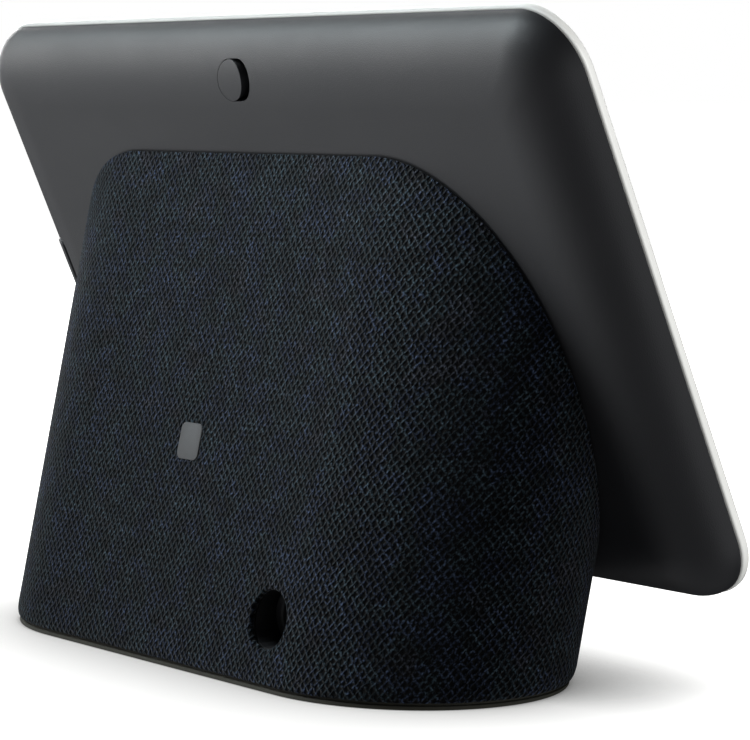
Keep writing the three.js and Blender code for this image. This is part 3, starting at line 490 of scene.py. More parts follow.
def fabric_material():
    """Plain weave with dark holes of painted shade, and a heathered tint that changes every few millimetres.
    """
    material, tree, shader = new_material("fabric", (0.018, 0.021, 0.028), 0.92, Sheen_Weight=0.08)
    shader.inputs["Sheen Roughness"].default_value = 0.45
    shader.inputs["Specular IOR Level"].default_value = 0.14
    weave = add_node(tree, "ShaderNodeUVMap", {"uv_map": "weave"}).outputs["UV"]
    wobble = add_node(tree, "ShaderNodeTexNoise", Vector=weave, Scale=0.9, Detail=1.0).outputs["Color"]
    shift = vector_maths(tree, "SUBTRACT", wobble, (0.5, 0.5, 0.5))
    moved = vector_maths(tree, "MULTIPLY_ADD", shift, (STRAND_WANDER, STRAND_WANDER, 0), weave)
    parts = add_node(tree, "ShaderNodeSeparateXYZ", Vector=moved)
    u, v = parts.outputs["X"], parts.outputs["Y"]
    rising = strand_profile(tree, maths(tree, "ADD", u, v))
    falling = strand_profile(tree, maths(tree, "SUBTRACT", v, u))
    over = maths(tree, "COSINE", maths(tree, "MULTIPLY", v, 2 * math.pi))
    rising = maths(tree, "MULTIPLY", rising, maths(tree, "MULTIPLY_ADD", over, STRAND_DIP, 1 - STRAND_DIP))
    falling = maths(tree, "MULTIPLY", falling, maths(tree, "MULTIPLY_ADD", over, -STRAND_DIP, 1 - STRAND_DIP))
    relief = maths(tree, "MAXIMUM", rising, falling)

    strand = add_node(tree, "ShaderNodeTexNoise", Vector=weave, Scale=STRAND_LUMPS, Detail=1.0).outputs["Fac"]
    fibre = add_node(tree, "ShaderNodeTexNoise", Vector=weave, Scale=FIBRE_LUMPS, Detail=1.0).outputs["Fac"]
    heather = noise(tree, 260, 3)
    level = maths(tree, "MULTIPLY", spread(tree, strand, *LUMP_TONE), spread(tree, fibre, *LUMP_TONE))
    level = maths(tree, "MULTIPLY", level, spread(tree, heather, 0.65, 1.45, 0.38, 0.62))
    blue = noise(tree, 190, 2)
    warm = noise(tree, 120, 2, stretch=(1, 1, 1.4))
    yarn = blend_colours(tree, spread(tree, blue, 0, 1, 0.46, 0.56), YARN_GREEN, YARN_BLUE)
    yarn = blend_colours(tree, spread(tree, warm, 0, 1, 0.60, 0.68), yarn, YARN_BROWN)
    scaled = add_node(tree, "ShaderNodeVectorMath", {"operation": "SCALE"}, Input0=yarn, Scale=level)
    # The low parts of the weave take YARN_SHADOW as painted shade: the holes, and the sides and dips of the
    # strands.
    tone = blend_colours(tree, spread(tree, relief, 0, 1, 0.14, 0.95), YARN_SHADOW, scaled.outputs["Vector"])
    tree.links.new(tone, shader.inputs["Base Color"])
    height = maths(tree, "MULTIPLY_ADD", fibre, 0.25, relief)
    bump = add_node(tree, "ShaderNodeBump", Height=height, Distance=0.0004, Strength=1.0)
    tree.links.new(bump.outputs["Normal"], shader.inputs["Normal"])
    return material


SLOTS = {
    "shell": shell_material(),
    "rim": rim_material(),
    "glass": glass_material(),
    "screen": screen_material(),
    "fabric": fabric_material(),
    "rubber": rubber_material(),
    "inner_plastic": surface("inner_plastic", (0.014, 0.014, 0.016), 0.6, grain_depth=0.00003),
    "sheet_metal": brushed("sheet_metal", (0.55, 0.56, 0.57), 0.3),
    "dark_steel": brushed("dark_steel", (0.16, 0.165, 0.17), 0.36),
    "board": board_material(),
    "chip": surface("chip", (0.012, 0.012, 0.013), 0.45, grain_depth=0.00003),
    "flex": surface("flex", (0.38, 0.15, 0.045), 0.35, mottle=0.25, mottle_scale=500, grain_depth=0.00001),
    "cable": surface("cable", (0.012, 0.012, 0.013), 0.5, grain_depth=0.00002),
    "ferrite": surface("ferrite", (0.030, 0.030, 0.033), 0.55, mottle=0.3, mottle_scale=900),
    "cone": woven_cone(),
    "foam": surface("foam", (0.030, 0.030, 0.031), 0.95, mottle=0.3, grain_scale=1500, grain_depth=0.00015),
}


def paint(piece, slot):
    piece.data.materials.clear()
    piece.data.materials.append(SLOTS[slot])


def paint_frame():
    """Every CAD node gets the finish that the record names for it."""
    for part in frame["record"]["subparts"]:
        paint(frame["nodes"][part["node"]], part["material_slot"])


# ---- Mesh helpers -------------------------------------------------------------------------


def make_object(name, vertices, faces, place):
    """A smooth-shaded object from millimetre vertices in the frame that place gives."""
    mesh = bpy.data.meshes.new(name)
    mesh.from_pydata([tuple(vertex) for vertex in vertices], [], faces)
    mesh.transform(METRES @ place)
    tidy = bmesh.new()
    tidy.from_mesh(mesh)
    bmesh.ops.recalc_face_normals(tidy, faces=tidy.faces)
    tidy.to_mesh(mesh)
    tidy.free()
    mesh.shade_smooth()
    piece = bpy.data.objects.new(name, mesh)
    bpy.context.scene.collection.objects.link(piece)
    return piece


def finish_piece(piece, slot, *nodes, body="display", sharp=SHARP):
    """Colours a piece, lets it ride on its body and hides the CAD nodes that it stands for."""
    paint(piece, slot)
    if sharp:
        piece.data.set_sharp_from_angle(angle=sharp)
    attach(piece, body)
    if nodes:
        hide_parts(*nodes)
    return piece


def loft(rings, capped=True):
    """Vertices and faces through rings of equally many points; uncapped, the last ring joins the first."""
    count = len(rings[0])
    vertices = [point for ring in rings for point in ring]
    pairs = [(i, i + 1) for i in range(len(rings) - 1)]
    if not capped:
        pairs.append((len(rings) - 1, 0))
    faces = [
        (a * count + i, a * count + (i + 1) % count, b * count + (i + 1) % count, b * count + i)
        for a, b in pairs
        for i in range(count)
    ]
    if capped:
        last = (len(rings) - 1) * count
        faces += [tuple(range(count)), tuple(range(last, last + count))]
    return vertices, faces


def gather(*parts):
    """Several closed surfaces as one list of vertices and faces."""
    vertices, faces = [], []
    for more_vertices, more_faces in parts:
        start = len(vertices)
        vertices += more_vertices
        faces += [tuple(start + i for i in face) for face in more_faces]
    return vertices, faces


def quarter(steps):
    return [step / steps * math.pi / 2 for step in range(steps + 1)]


def outline(half_x, half_y, radius, corner_steps=CORNER_STEPS, side_steps=SIDE_STEPS):
    """Points round a rounded rectangle, with its straight sides divided too."""
    corners = []
    for turn, (sx, sy) in enumerate(((1, 1), (-1, 1), (-1, -1), (1, -1))):
        centre = Vector((sx * (half_x - radius), sy * (half_y - radius)))
        angles = (angle + turn * math.pi / 2 for angle in quarter(corner_steps))
        corners.append([centre + radius * Vector((math.cos(a), math.sin(a))) for a in angles])
    points = []
    for turn, corner in enumerate(corners):
        points += corner
        start, end = corner[-1], corners[(turn + 1) % 4][0]
        points += [start.lerp(end, step / side_steps) for step in range(1, side_steps)]
    return points


def lifted(points, z, x=0.0, y=0.0):
    return [Vector((point.x + x, point.y + y, z)) for point in points]


def rounded_block(x0, x1, y0, y1, z0, z1, radius):
    """A box with rounded upright edges and softened top and bottom edges."""
    half_x, half_y = (x1 - x0) / 2, (y1 - y0) / 2
    rings = []
    for inset, z in ((radius, z0), (0, z0 + radius), (0, z1 - radius), (radius, z1)):
        points = outline(half_x - inset, half_y - inset, radius, corner_steps=4, side_steps=1)
        rings.append(lifted(points, z, (x0 + x1) / 2, (y0 + y1) / 2))
    return loft(rings)


def turned(profile, x, z):
    """A closed profile of (radius, y) points turned about a line along y."""
    sides = 64
    rings = []
    for side in range(sides):
        angle = side / sides * 2 * math.pi
        rings.append([Vector((x + r * math.cos(angle), y, z + r * math.sin(angle))) for r, y in profile])
    return loft(rings, capped=False)


def carve(piece, *cutters):
    """Cuts the cutters out of a piece and keeps the piece's own smooth shading where it wasn't cut."""
    smooth = piece.data
    for cutter in cutters:
        cut = piece.modifiers.new("cut", "BOOLEAN")
        cut.operation = "DIFFERENCE"
        cut.solver = "EXACT"
        cut.object = cutter
    graph = bpy.context.evaluated_depsgraph_get()
    piece.data = bpy.data.meshes.new_from_object(piece.evaluated_get(graph))
    piece.modifiers.clear()
    for cutter in cutters:
        bpy.data.objects.remove(cutter)
    piece.data.name = piece.name
    copy_normals(smooth, piece.data)


def copy_normals(smooth, mesh):
    """Corner normals from a smooth surface, for every corner of the mesh that still lies on it."""
    near = 0.00002
    alike = 0.85
    smooth.set_sharp_from_angle(angle=SHARP)
    smooth.calc_loop_triangles()
    points = [vertex.co.copy() for vertex in smooth.vertices]
    triangles = [tuple(triangle.vertices) for triangle in smooth.loop_triangles]
    corners = [tuple(triangle.loops) for triangle in smooth.loop_triangles]
    tree = BVHTree.FromPolygons(points, triangles)
    corner_normals = [Vector(normal.vector) for normal in smooth.corner_normals]
    mesh.set_sharp_from_angle(angle=SHARP)
    own = [Vector(normal.vector) for normal in mesh.corner_normals]
    result = []
    for face in mesh.polygons:
        for loop in face.loop_indices:
            place = mesh.vertices[mesh.loops[loop].vertex_index].co
            found, _, index, distance = tree.find_nearest(place)
            normal = own[loop]
            if distance < near:
                weights = barycentric(found, *(points[i] for i in triangles[index]))
                blended = sum((corner_normals[c] * w for c, w in zip(corners[index], weights)), Vector())
                if blended.length > 0 and blended.normalized().dot(face.normal) > alike:
                    normal = blended.normalized()
            result.append(normal)
    mesh.normals_split_custom_set(result)


def barycentric(point, a, b, c):
    """The shares of a triangle's corners in a point of it, or a third each if it has no area."""
    ab, ac, ap = b - a, c - a, point - a
    d00, d01, d11 = ab.dot(ab), ab.dot(ac), ac.dot(ac)
    d20, d21 = ap.dot(ab), ap.dot(ac)
    whole = d00 * d11 - d01 * d01
    no_area = 1e-24
    if abs(whole) < no_area:
        return 1 / 3, 1 / 3, 1 / 3
    v = (d11 * d20 - d01 * d21) / whole
    w = (d00 * d21 - d01 * d20) / whole
    return 1 - v - w, v, w


def prism(name, points, z0, z1, place, x=0.0, y=0.0):
    """A cutter: an outline carried from z0 to z1."""
    vertices, faces = loft([lifted(points, z0, x, y), lifted(points, z1, x, y)])
    cutter = make_object(name, vertices, faces, place)
    cutter.hide_render = True
    return cutter


def circle(radius, sides=32):
    return [
        Vector((radius * math.cos(2 * math.pi * i / sides), radius * math.sin(2 * math.pi * i / sides)))
        for i in range(sides)
    ]


# ---- Display head -------------------------------------------------------------------------


def square_ring(inset, z):
    """A ring round the panel whose corners stay true offsets of its outline."""
    radius = max(PANEL_CORNER - inset, LEAST_CORNER)
    return lifted(outline(HALF_WIDTH - inset, HALF_HEIGHT - inset, radius), z)


def soft_ring(inset, z):
    """A ring round the panel whose corners stay rounder far in, so that the soft edge turns evenly."""
    least = SOFT_LEAST_CORNER * (inset / (SHELL_SETBACK + SOFT_INSET)) ** 2
    across = PANEL_CORNER - inset
    radius = (across + math.sqrt(across**2 + 4 * least**2)) / 2
    return lifted(outline(HALF_WIDTH - inset, HALF_HEIGHT - inset, radius), z)


def soft_levels(wall):
    """Inset and z from the shell's straight side round its soft edge to its flat back, at a wall's depth."""
    reach, depth = SOFT_INSET - wall, SOFT_DEPTH - wall
    return [
        (SHELL_SETBACK + SOFT_INSET - reach * math.cos(angle), -RIM_DEPTH - depth * math.sin(angle))
        for angle in quarter(SOFT_STEPS)
    ]


def add_rear_shell():
    """The soft-edged shell, with slots for the mute slider and the volume rocker."""
    outer = [(SHELL_SETBACK, -SHELL_FRONT)] + soft_levels(0)[2:]
    inner = [(SHELL_SETBACK + SHELL_WALL, -SHELL_FRONT)] + soft_levels(SHELL_WALL)[2:]
    rings = [soft_ring(inset, z) for inset, z in [*reversed(inner), *outer]]
    vertices, faces = loft(rings)
    shell = make_object("rear_shell", vertices, faces, PANEL)
    slot = outline(MUTE_SLOT["half_length"], MUTE_SLOT["half_height"], MUTE_SLOT["half_height"], 24, 2)
    outside, hollow = -SOFT_DEPTH - 4, -6.5
    mute = prism("mute_cutter", slot, outside, hollow, PANEL, MUTE_SLOT["x"], MUTE_SLOT["y"])
    half_width = ROCKER["half_width"] + ROCKER["gap"]
    half_length = ROCKER["half_length"] + ROCKER["gap"]
    rocker_slot = outline(half_width, half_length, half_width, 20, 2)
    rocker = prism("rocker_cutter", rocker_slot, -3, 3, ROCKER_FRAME)
    carve(shell, mute, rocker)
    finish_piece(shell, "shell", "rear_housing", sharp=None)


def add_front_rim():
    """The pale rim with its border shelf, rib, microphone holes and sensor hole."""
    edge, chamfer = RIM_ROUNDING, 0.1
    front = [(edge - edge * math.sin(a), -edge + edge * math.cos(a)) for a in quarter(4)]
    back = [(edge - edge * math.cos(a), -RIM_DEPTH + edge - edge * math.sin(a)) for a in quarter(4)]
    profile = [
        *front,
        *back,
        (RIB["outer"], -RIM_DEPTH),
        (RIB["outer"], -RIB["back"]),
        (RIB["inner"], -RIB["back"]),
        (RIB["inner"], -RIM_DEPTH),
        (BEZEL_BORDER, -RIM_DEPTH),
        (BEZEL_BORDER, -BEZEL_SHELF),
        (BEZEL_LIP, -BEZEL_SHELF),
        (BEZEL_LIP, -chamfer),
        (BEZEL_LIP - chamfer, 0),
    ]
    vertices, faces = loft([square_ring(inset, z) for inset, z in profile], capped=False)
    rim = make_object("front_rim", vertices, faces, PANEL)
    cutters = [prism(f"mic_cutter_{x}", circle(MIC_HOLE), -4, 1, PANEL, x, SENSOR_Y) for x in (-MIC_X, MIC_X)]
    cutters.append(prism("sensor_cutter", circle(SENSOR_HOLE), -4, 1, PANEL, 0, SENSOR_Y))
    carve(rim, *cutters)
    return finish_piece(rim, "rim", "bezel_frame", sharp=None)


def add_front_glass():
    """The cover glass in the rim's lip, with its microphone holes."""
    edge = 0.15
    levels = [(edge, -GLASS_FRONT), (0, -GLASS_FRONT - edge), (0, -GLASS_BACK + edge), (edge, -GLASS_BACK)]
    vertices, faces = loft([square_ring(GLASS_INSET + inset, z) for inset, z in levels])
    glass = make_object("front_glass", vertices, faces, PANEL)
    ports = [prism(f"port_cutter_{x}", circle(MIC_HOLE), -2, 1, PANEL, x, SENSOR_Y) for x in (-MIC_X, MIC_X)]
    carve(glass, *ports)
    finish_piece(glass, "glass", "cover_glass", sharp=None)


def shell_surface(x, y):
    """z of the shell's outer rear surface over a place on the panel, away from its corners."""
    inset = min(HALF_WIDTH - abs(x), HALF_HEIGHT - abs(y))
    across = min(max((SHELL_SETBACK + SOFT_INSET - inset) / SOFT_INSET, 0), 1)
    return -RIM_DEPTH - SOFT_DEPTH * math.sqrt(1 - across**2)


def add_mute_slider():
    """The round slider, whose face follows the shell, with its flange and fork."""
    sunk, edge, skirt, sides = 0.02, 0.06, 3.0, 72
    rings = []
    for radius, drop in [
        (MUTE_RADIUS, skirt),
        *((MUTE_RADIUS - edge + edge * math.cos(a), edge - edge * math.sin(a)) for a in quarter(5)),
        *((MUTE_RADIUS * share, 0) for share in (0.95, 0.9, 0.8, 0.6, 0.4, 0.2, 0.05)),
    ]:
        ring = []
        for point in circle(radius, sides):
            x, y = MUTE_REST_X + point.x, MUTE_SLOT["y"] - MUTE_DROP + point.y
            z = OVERLAP - MUTE_FLANGE["back"] if drop == skirt else shell_surface(x, y) + sunk + drop
            ring.append(Vector((x, y, z)))
        rings.append(ring)
    x0, x1 = MUTE_REST_X - MUTE_FLANGE["half_width"], MUTE_REST_X + MUTE_FLANGE["half_width"]
    y0, back, front = MUTE_FLANGE["y0"], -MUTE_FLANGE["back"], -MUTE_FLANGE["front"]
    flange = rounded_block(x0, x1, y0, MUTE_FLANGE["y1"], back, front, FLANGE_ROUNDING)
    prongs = []
    for side in (-1, 1):
        middle, half = MUTE_REST_X + side * MUTE_PRONG["offset"], MUTE_PRONG["half_width"]
        across = (middle - half, middle + half)
        along = (y0 - MUTE_PRONG["length"], y0 + OVERLAP)
        prongs.append(rounded_block(*across, *along, back, front, FLANGE_ROUNDING))
    vertices, faces = gather(loft(rings), flange, *prongs)
    slider = make_object("mute_button", vertices, faces, PANEL)
    finish_piece(slider, "shell", "mute_slider", body="mute_slider")


def add_volume_rocker():
    """The rocker's crowned face with rounded edges, on its flange."""
    edge = 0.4
    half_width, half_length = ROCKER["half_width"], ROCKER["half_length"]
    levels = [(0, -ROCKER_FLANGE["front"] - OVERLAP / 2)]
    levels += [(edge * (1 - math.cos(a)), ROCKER["proud"] - edge * (1 - math.sin(a))) for a in quarter(5)]
    levels += [(inset, ROCKER["proud"]) for inset in (0.8, 1.2, 1.6, 1.9, 2.1)]
    rings = []
    for inset, z in levels:
        ring = lifted(outline(half_width - inset, half_length - inset, half_width - inset, 14, 6), z)
        for point in ring if z > -edge else ():
            point.z -= point.x**2 / (2 * ROCKER["crown"])
        rings.append(ring)
    side, end = ROCKER_FLANGE["half_width"], ROCKER_FLANGE["half_length"]
    back, front = -ROCKER_FLANGE["back"], -ROCKER_FLANGE["front"]
    flange = rounded_block(-side, side, -end, end, back, front, FLANGE_ROUNDING)
    vertices, faces = gather(loft(rings), flange)
    rocker = make_object("volume_key", vertices, faces, ROCKER_FRAME)
    finish_piece(rocker, "shell", "volume_rocker", body="volume_rocker")


# ---- Base ---------------------------------------------------------------------------------


def base_sizes(z):
    """Half width, half depth and the section's middle in y, at a height."""
    half_depth = BASE_HALF_DEPTH + BASE_HALF_DEPTH_RISE * z
    return BASE_HALF_WIDTH + BASE_HALF_WIDTH_RISE * z, half_depth, BASE_REAR + BASE_REAR_RISE * z - half_depth


def base_stations():
    """Places round the base from the front's middle, each a straight x and an ellipse's cosine and sine."""
    half = STRAIGHT_STEPS // 2
    straight = [BASE_STRAIGHT * step / half for step in range(half)]
    right = [angle / END_STEPS * math.pi - math.pi / 2 for angle in range(END_STEPS)]
    stations = [(x, 0.0, -1.0) for x in straight]
    stations += [(BASE_STRAIGHT, math.cos(a), math.sin(a)) for a in right]
    stations += [(BASE_STRAIGHT - x, 0.0, 1.0) for x in straight]
    stations += [(-x, 0.0, 1.0) for x in straight]
    stations += [(-BASE_STRAIGHT, -math.cos(a), -math.sin(a)) for a in right]
    stations += [(-BASE_STRAIGHT + x, 0.0, -1.0) for x in straight]
    return stations


def base_point(station, z, inset):
    x, cosine, sine = station
    half_width, half_depth, middle = base_sizes(z)
    across = x + cosine * (half_width - inset - BASE_STRAIGHT)
    return Vector((across, BASE_Y + middle + sine * (half_depth - inset), z))


def inside_shell(point):
    """Whether a place lies in the panel, grown by the gap that the sleeve keeps to it."""
    x, y, z = TO_PANEL @ point
    depth = -z - RIM_DEPTH
    if depth > SOFT_DEPTH + SLEEVE_GAP:
        return False
    share = max(depth, 0) / (SOFT_DEPTH + SLEEVE_GAP)
    limit = SHELL_SETBACK + SOFT_INSET - (SOFT_INSET + SLEEVE_GAP) * math.sqrt(1 - share**2)
    beyond_x = abs(x) - (HALF_WIDTH - PANEL_CORNER)
    beyond_y = abs(y) - (HALF_HEIGHT - PANEL_CORNER)
    if beyond_x > 0 and beyond_y > 0:
        return PANEL_CORNER - math.hypot(beyond_x, beyond_y) > limit
    return PANEL_CORNER - max(beyond_x, beyond_y) > limit


def sleeve_top(station, inset):
    """Height at which the base's wall meets the shell: a climb in steps, then halving."""
    low, step, halvings = 6.0, 2, 14
    while not inside_shell(base_point(station, low + step, inset)):
        low += step
    high = low + step
    for _ in range(halvings):
        middle = (low + high) / 2
        if inside_shell(base_point(station, middle, inset)):
            high = middle
        else:
            low = middle
    return low


def rear_point(x, z, inset):
    """The place on the base's rear wall over x and z."""
    half_width, half_depth, middle = base_sizes(z)
    beyond = max(abs(x) - BASE_STRAIGHT, 0) / (half_width - inset - BASE_STRAIGHT)
    return Vector((x, BASE_Y + middle + (half_depth - inset) * math.sqrt(1 - beyond**2), z))


class Sleeve:
    """The fabric band: outer and inner walls joined by rounded edges, with a turned-in hole for the inlet."""

    def __init__(self):
        self.stations = base_stations()
        self.count = len(self.stations)
        self.vertices = []
        self.faces = []
        self.weave = []
        self.round = self.shares()

    def shares(self):
        """How far round the base each station is, from 0 to 1, measured at half height."""
        points = [base_point(station, BASE_HALF_HEIGHT, 0) for station in self.stations]
        lengths = [(points[(i + 1) % self.count] - points[i]).length for i in range(self.count)]
        self.length = sum(lengths)
        return [sum(lengths[:i]) / self.length for i in range(self.count)]

    def add(self, point, share, z=None):
        """A vertex with its place in the weave, in repeats of the pattern."""
        height = point.z if z is None else z
        across = WEAVE_REPEATS_ROUND * share + WEAVE_DRIFT_UP * height
        up = WEAVE_REPEATS_UP * height + WEAVE_DRIFT_ROUND * share
        self.vertices.append(point)
        self.weave.append((across, up))
        return len(self.vertices) - 1

    def wall(self, inset, heights):
        """Rows of vertices up a wall; heights gives each station's z for each row."""
        return [
            [self.add(base_point(s, z[i], inset), self.round[i]) for i, s in enumerate(self.stations)]
            for z in heights
        ]

    def band(self, lower, upper, skip=()):
        for i in range(self.count):
            if i not in skip:
                j = (i + 1) % self.count
                self.faces.append((lower[i], lower[j], upper[j], upper[i]))

    def tops(self, inset):
        return [sleeve_top(station, inset) for station in self.stations]


def window_range(sleeve, rows):
    """The stations and rows of the wall that the inlet's patch takes the place of."""
    columns = [
        i
        for i, (_, _, sine) in enumerate(sleeve.stations)
        if sine > 0 and abs(base_point(sleeve.stations[i], INLET["z"], 0).x - INLET["x"]) < INLET_WINDOW
    ]
    middle = columns[len(columns) // 2]
    inside = [
        r for r, row in enumerate(rows) if abs(sleeve.vertices[row[middle]].z - INLET["z"]) < INLET_WINDOW
    ]
    return columns[0], columns[-1], inside[0], inside[-1]


def window_loop(rows, left, right, low, high):
    """Vertex indices round the window, in order."""
    loop = [rows[low][i] for i in range(left, right)]
    loop += [rows[r][right] for r in range(low, high)]
    loop += [rows[high][i] for i in range(right, left, -1)]
    loop += [rows[r][left] for r in range(high, low, -1)]
    return loop


def share_at(sleeve, x):
    """How far round the base a place on the rear wall is."""
    rear = [i for i, (_, _, sine) in enumerate(sleeve.stations) if sine > 0.5]
    places = [(base_point(sleeve.stations[i], INLET["z"], 0).x, sleeve.round[i]) for i in rear]
    for (x0, s0), (x1, s1) in zip(places, places[1:]):
        if x1 <= x <= x0:
            return s0 + (s1 - s0) * (x0 - x) / (x0 - x1)
    return places[-1][1]


def inlet_rings(sleeve, loop, inset, radius):
    """Rings of vertices from the window's edge to a circle round the inlet."""
    rings = [loop]
    steps = 5
    for step in range(1, steps + 1):
        ring = []
        for index in loop:
            place = sleeve.vertices[index]
            angle = math.atan2(place.z - INLET["z"], place.x - INLET["x"])
            target = Vector((INLET["x"] + radius * math.cos(angle), INLET["z"] + radius * math.sin(angle)))
            flat = Vector((place.x, place.z)).lerp(target, step / steps)
            ring.append(sleeve.add(rear_point(flat.x, flat.y, inset), share_at(sleeve, flat.x)))
        rings.append(ring)
    return rings


def lip_rings(sleeve, ring):
    """The fabric's edge as it turns into the inlet."""
    rounding = INLET["rounding"]
    rings = []
    for angle in quarter(5)[1:]:
        radius = INLET["radius"] + rounding * (1 - math.sin(angle))
        turned_in = rounding * angle
        lip = []
        for index in ring:
            place = sleeve.vertices[index]
            around = math.atan2(place.z - INLET["z"], place.x - INLET["x"])
            x, z = INLET["x"] + radius * math.cos(around), INLET["z"] + radius * math.sin(around)
            point = rear_point(x, z, 0)
            point.y -= rounding * (1 - math.cos(angle))
            flat = INLET["radius"] + rounding - turned_in
            weave_x, weave_z = INLET["x"] + flat * math.cos(around), INLET["z"] + flat * math.sin(around)
            lip.append(sleeve.add(point, share_at(sleeve, weave_x), weave_z))
        rings.append(lip)
    return rings


def sleeve_rows(low, highs):
    """Heights of the rows of a wall from a level bottom to each station's top."""
    return [[low + (high - low) * r / SLEEVE_ROWS for high in highs] for r in range(SLEEVE_ROWS + 1)]


def join_sleeve_edges(sleeve, outer, inner):
    """The lower edge, which tucks in and under, and the rounded upper edge along the shell."""
    start = SLEEVE_BOTTOM + BOTTOM_CURL
    previous = outer[0]
    for angle in quarter(7)[1:]:
        z = [start - BOTTOM_CURL * math.sin(angle)] * sleeve.count
        row = sleeve.wall(BOTTOM_TUCK * (1 - math.cos(angle)), [z])[0]
        sleeve.band(row, previous)
        previous = row
    sleeve.band(inner[0], previous)
    previous = outer[-1]
    for angle in quarter(4)[1:]:
        inset = TOP_ROUNDING * (1 - math.cos(angle))
        z = [top - TOP_ROUNDING * (1 - math.sin(angle)) for top in sleeve.tops(inset)]
        row = sleeve.wall(inset, [z])[0]
        sleeve.band(previous, row)
        previous = row
    sleeve.band(previous, inner[-1])


def open_inlet(sleeve, outer_loop, inner_loop):
    """The wall between the window and the inlet's round hole, outside, through the hole and inside."""
    rings = inlet_rings(sleeve, outer_loop, 0, INLET["radius"] + INLET["rounding"])
    rings += lip_rings(sleeve, rings[-1])
    rings += reversed(inlet_rings(sleeve, inner_loop, FABRIC, INLET["radius"]))
    for first, second in zip(rings, rings[1:]):
        for i in range(len(first)):
            j = (i + 1) % len(first)
            sleeve.faces.append((first[i], first[j], second[j], second[i]))


def map_weave(piece, sleeve):
    """Stores each corner's place in the weave, which runs on past the seam where the band closes."""
    layer = piece.data.uv_layers.new(name="weave")
    for face in piece.data.polygons:
        places = [sleeve.weave[v] for v in face.vertices]
        widest = max(u for u, _ in places)
        for loop, (u, v) in zip(face.loop_indices, places):
            wraps = widest - u > WEAVE_REPEATS_ROUND / 2
            layer.data[loop].uv = (u + WEAVE_REPEATS_ROUND, v + WEAVE_DRIFT_ROUND) if wraps else (u, v)


def add_fabric_sleeve():
    sleeve = Sleeve()
    outer_top, inner_top = sleeve.tops(0), sleeve.tops(FABRIC)
    outer_high = [top - TOP_ROUNDING for top in outer_top]
    outer = sleeve.wall(0, sleeve_rows(SLEEVE_BOTTOM + BOTTOM_CURL, outer_high))
    inner = sleeve.wall(FABRIC, sleeve_rows(SLEEVE_BOTTOM, inner_top))
    left, right, low, high = window_range(sleeve, outer)
    for rows in (outer, inner):
        for r in range(SLEEVE_ROWS):
            skip = range(left, right) if low <= r < high else ()
            sleeve.band(rows[r], rows[r + 1], skip)
    join_sleeve_edges(sleeve, outer, inner)
    loops = [window_loop(rows, left, right, low, high) for rows in (outer, inner)]
    open_inlet(sleeve, *loops)
    piece = make_object("fabric_cover", sleeve.vertices, sleeve.faces, Matrix())
    map_weave(piece, sleeve)
    finish_piece(piece, "fabric", "fabric_sleeve", sharp=None)
    return piece


def add_foot():
    """The rubber foot, with a rounded lip that shows under the sleeve."""
    edge, slope = 0.3, 0.15
    stations = base_stations()
    levels = [(FOOT_LIP + edge * (1 - math.sin(a)), edge * (1 - math.cos(a))) for a in quarter(4)]
    levels += [(FOOT_LIP, FOOT_LIP_TOP), (FOOT_INSET, FOOT_LIP_TOP + slope), (FOOT_INSET, FOOT_TOP)]
    rings = [[base_point(s, z, inset) for s in stations] for inset, z in levels]
    vertices, faces = loft(rings)
    foot = make_object("rubber_foot", vertices, faces, Matrix())
    finish_piece(foot, "rubber", "foot_pad")


def add_inlet_socket():
    """The socket at the bottom of the inlet, with chamfered edges."""
    outer, edge = INLET["radius"] - JACK["clearance"], JACK["edge"]
    face, floor, back = (BASE_Y + y for y in (INLET["face_y"], JACK["floor_y"], JACK["back_y"]))
    profile = [
        (outer - edge, face),
        (outer, face - edge),
        (outer, back),
        (PIN["hole"], back),
        (PIN["hole"], floor),
        (JACK["socket"], floor),
        (JACK["socket"], face - edge),
        (JACK["socket"] + edge, face),
    ]
    vertices, faces = turned(profile, INLET["x"], INLET["z"])
    socket = make_object("inlet_socket", vertices, faces, Matrix())
    finish_piece(socket, "inner_plastic", "power_jack_body", sharp=SHARP_SOCKET)
    # The socket then takes a lighter copy of the inner plastic. This is painted light, standing in for the
    # light that falls on its face down the inlet.
    socket.data.materials.clear()
    socket.data.materials.append(surface("socket_plastic_painted_light", (0.07, 0.072, 0.076), 0.45, grain_depth=0.00002))


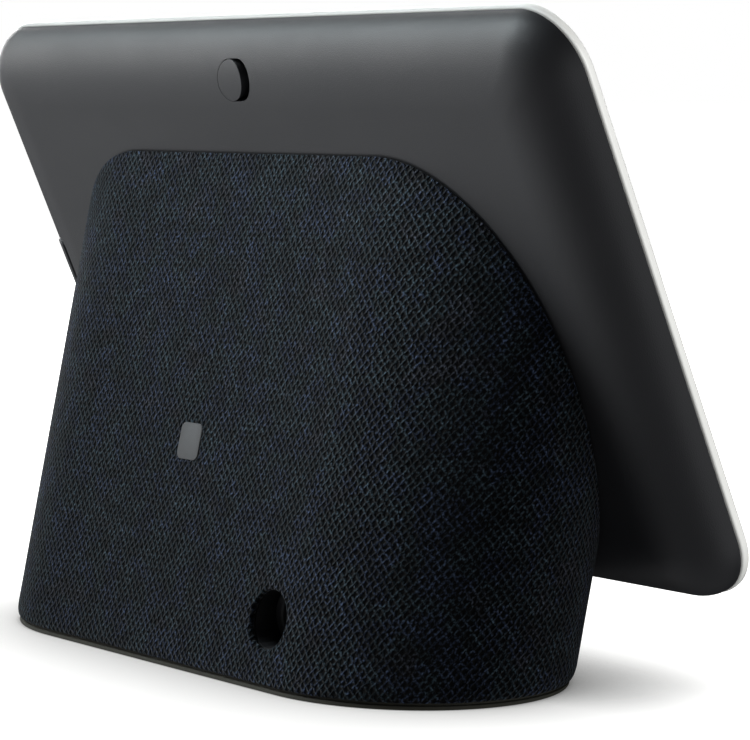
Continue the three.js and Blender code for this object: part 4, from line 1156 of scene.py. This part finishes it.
def add_inlet_pin():
    """The socket's centre pin, with a round end just below the socket's face."""
    radius, tip = PIN["radius"], PIN["tip"]
    shoulder = BASE_Y + INLET["face_y"] - PIN["drop"] - radius
    profile = [(radius, BASE_Y + PIN["back_y"]), (radius, shoulder)]
    profile += [(max(radius * math.cos(a), tip), shoulder + radius * math.sin(a)) for a in quarter(6)[1:]]
    rings = [[Vector((INLET["x"] + p.x, y, INLET["z"] + p.y)) for p in circle(r)] for r, y in profile]
    vertices, faces = loft(rings)
    pin = make_object("inlet_pin", vertices, faces, Matrix())
    finish_piece(pin, "sheet_metal", "power_jack_pin")


def patch_material():
    return surface("plain_patch", (0.060, 0.061, 0.064), 0.6, mottle=0.08, mottle_scale=700, grain_scale=5000)


def add_plain_patch():
    """A small plain printed patch on the rear of the sleeve."""
    rings = []
    half, corner, thick, edge = PATCH["half"], PATCH["corner"], PATCH["thick"], PATCH["edge"]
    for inset, lift in ((0, -PATCH["depth"]), (0, thick - edge), (edge, thick)):
        points = outline(half - inset, half - inset, corner - inset, 8, 6)
        rings.append([rear_point(PATCH["x"] + p.x, PATCH["z"] + p.y, -lift) for p in points])
    vertices, faces = loft(rings)
    patch = make_object("plain_patch", vertices, faces, Matrix())
    patch.data.materials.append(patch_material())
    patch.data.set_sharp_from_angle(angle=SHARP)
    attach(patch, "display")


# ---- Scene --------------------------------------------------------------------------------

bpy.context.scene.view_settings.view_transform = "Standard"
add_camera()
add_world()
floor = add_floor()
for name, settings in LAMPS.items():
    choose_lit(add_softbox(name, **settings), floor, "EXCLUDE")
for number, (azimuth, elevation, power) in enumerate(FLOOR_LAMPS):
    name = f"floor_{number}"
    lamp = add_softbox(name, azimuth, elevation, FLOOR_LAMP_DISTANCE, FLOOR_LAMP_SIZE, power)
    choose_lit(lamp, floor, "INCLUDE")
paint_frame()
add_rear_shell()
rim = add_front_rim()
choose_lit(add_softbox("rim_lamp", **RIM_LAMP), rim, "INCLUDE")
add_front_glass()
add_mute_slider()
add_volume_rocker()
sleeve = add_fabric_sleeve()
choose_lit(add_softbox("sleeve_lamp", **SLEEVE_LAMP), sleeve, "INCLUDE")
add_foot()
add_inlet_socket()
add_inlet_pin()
add_plain_patch()
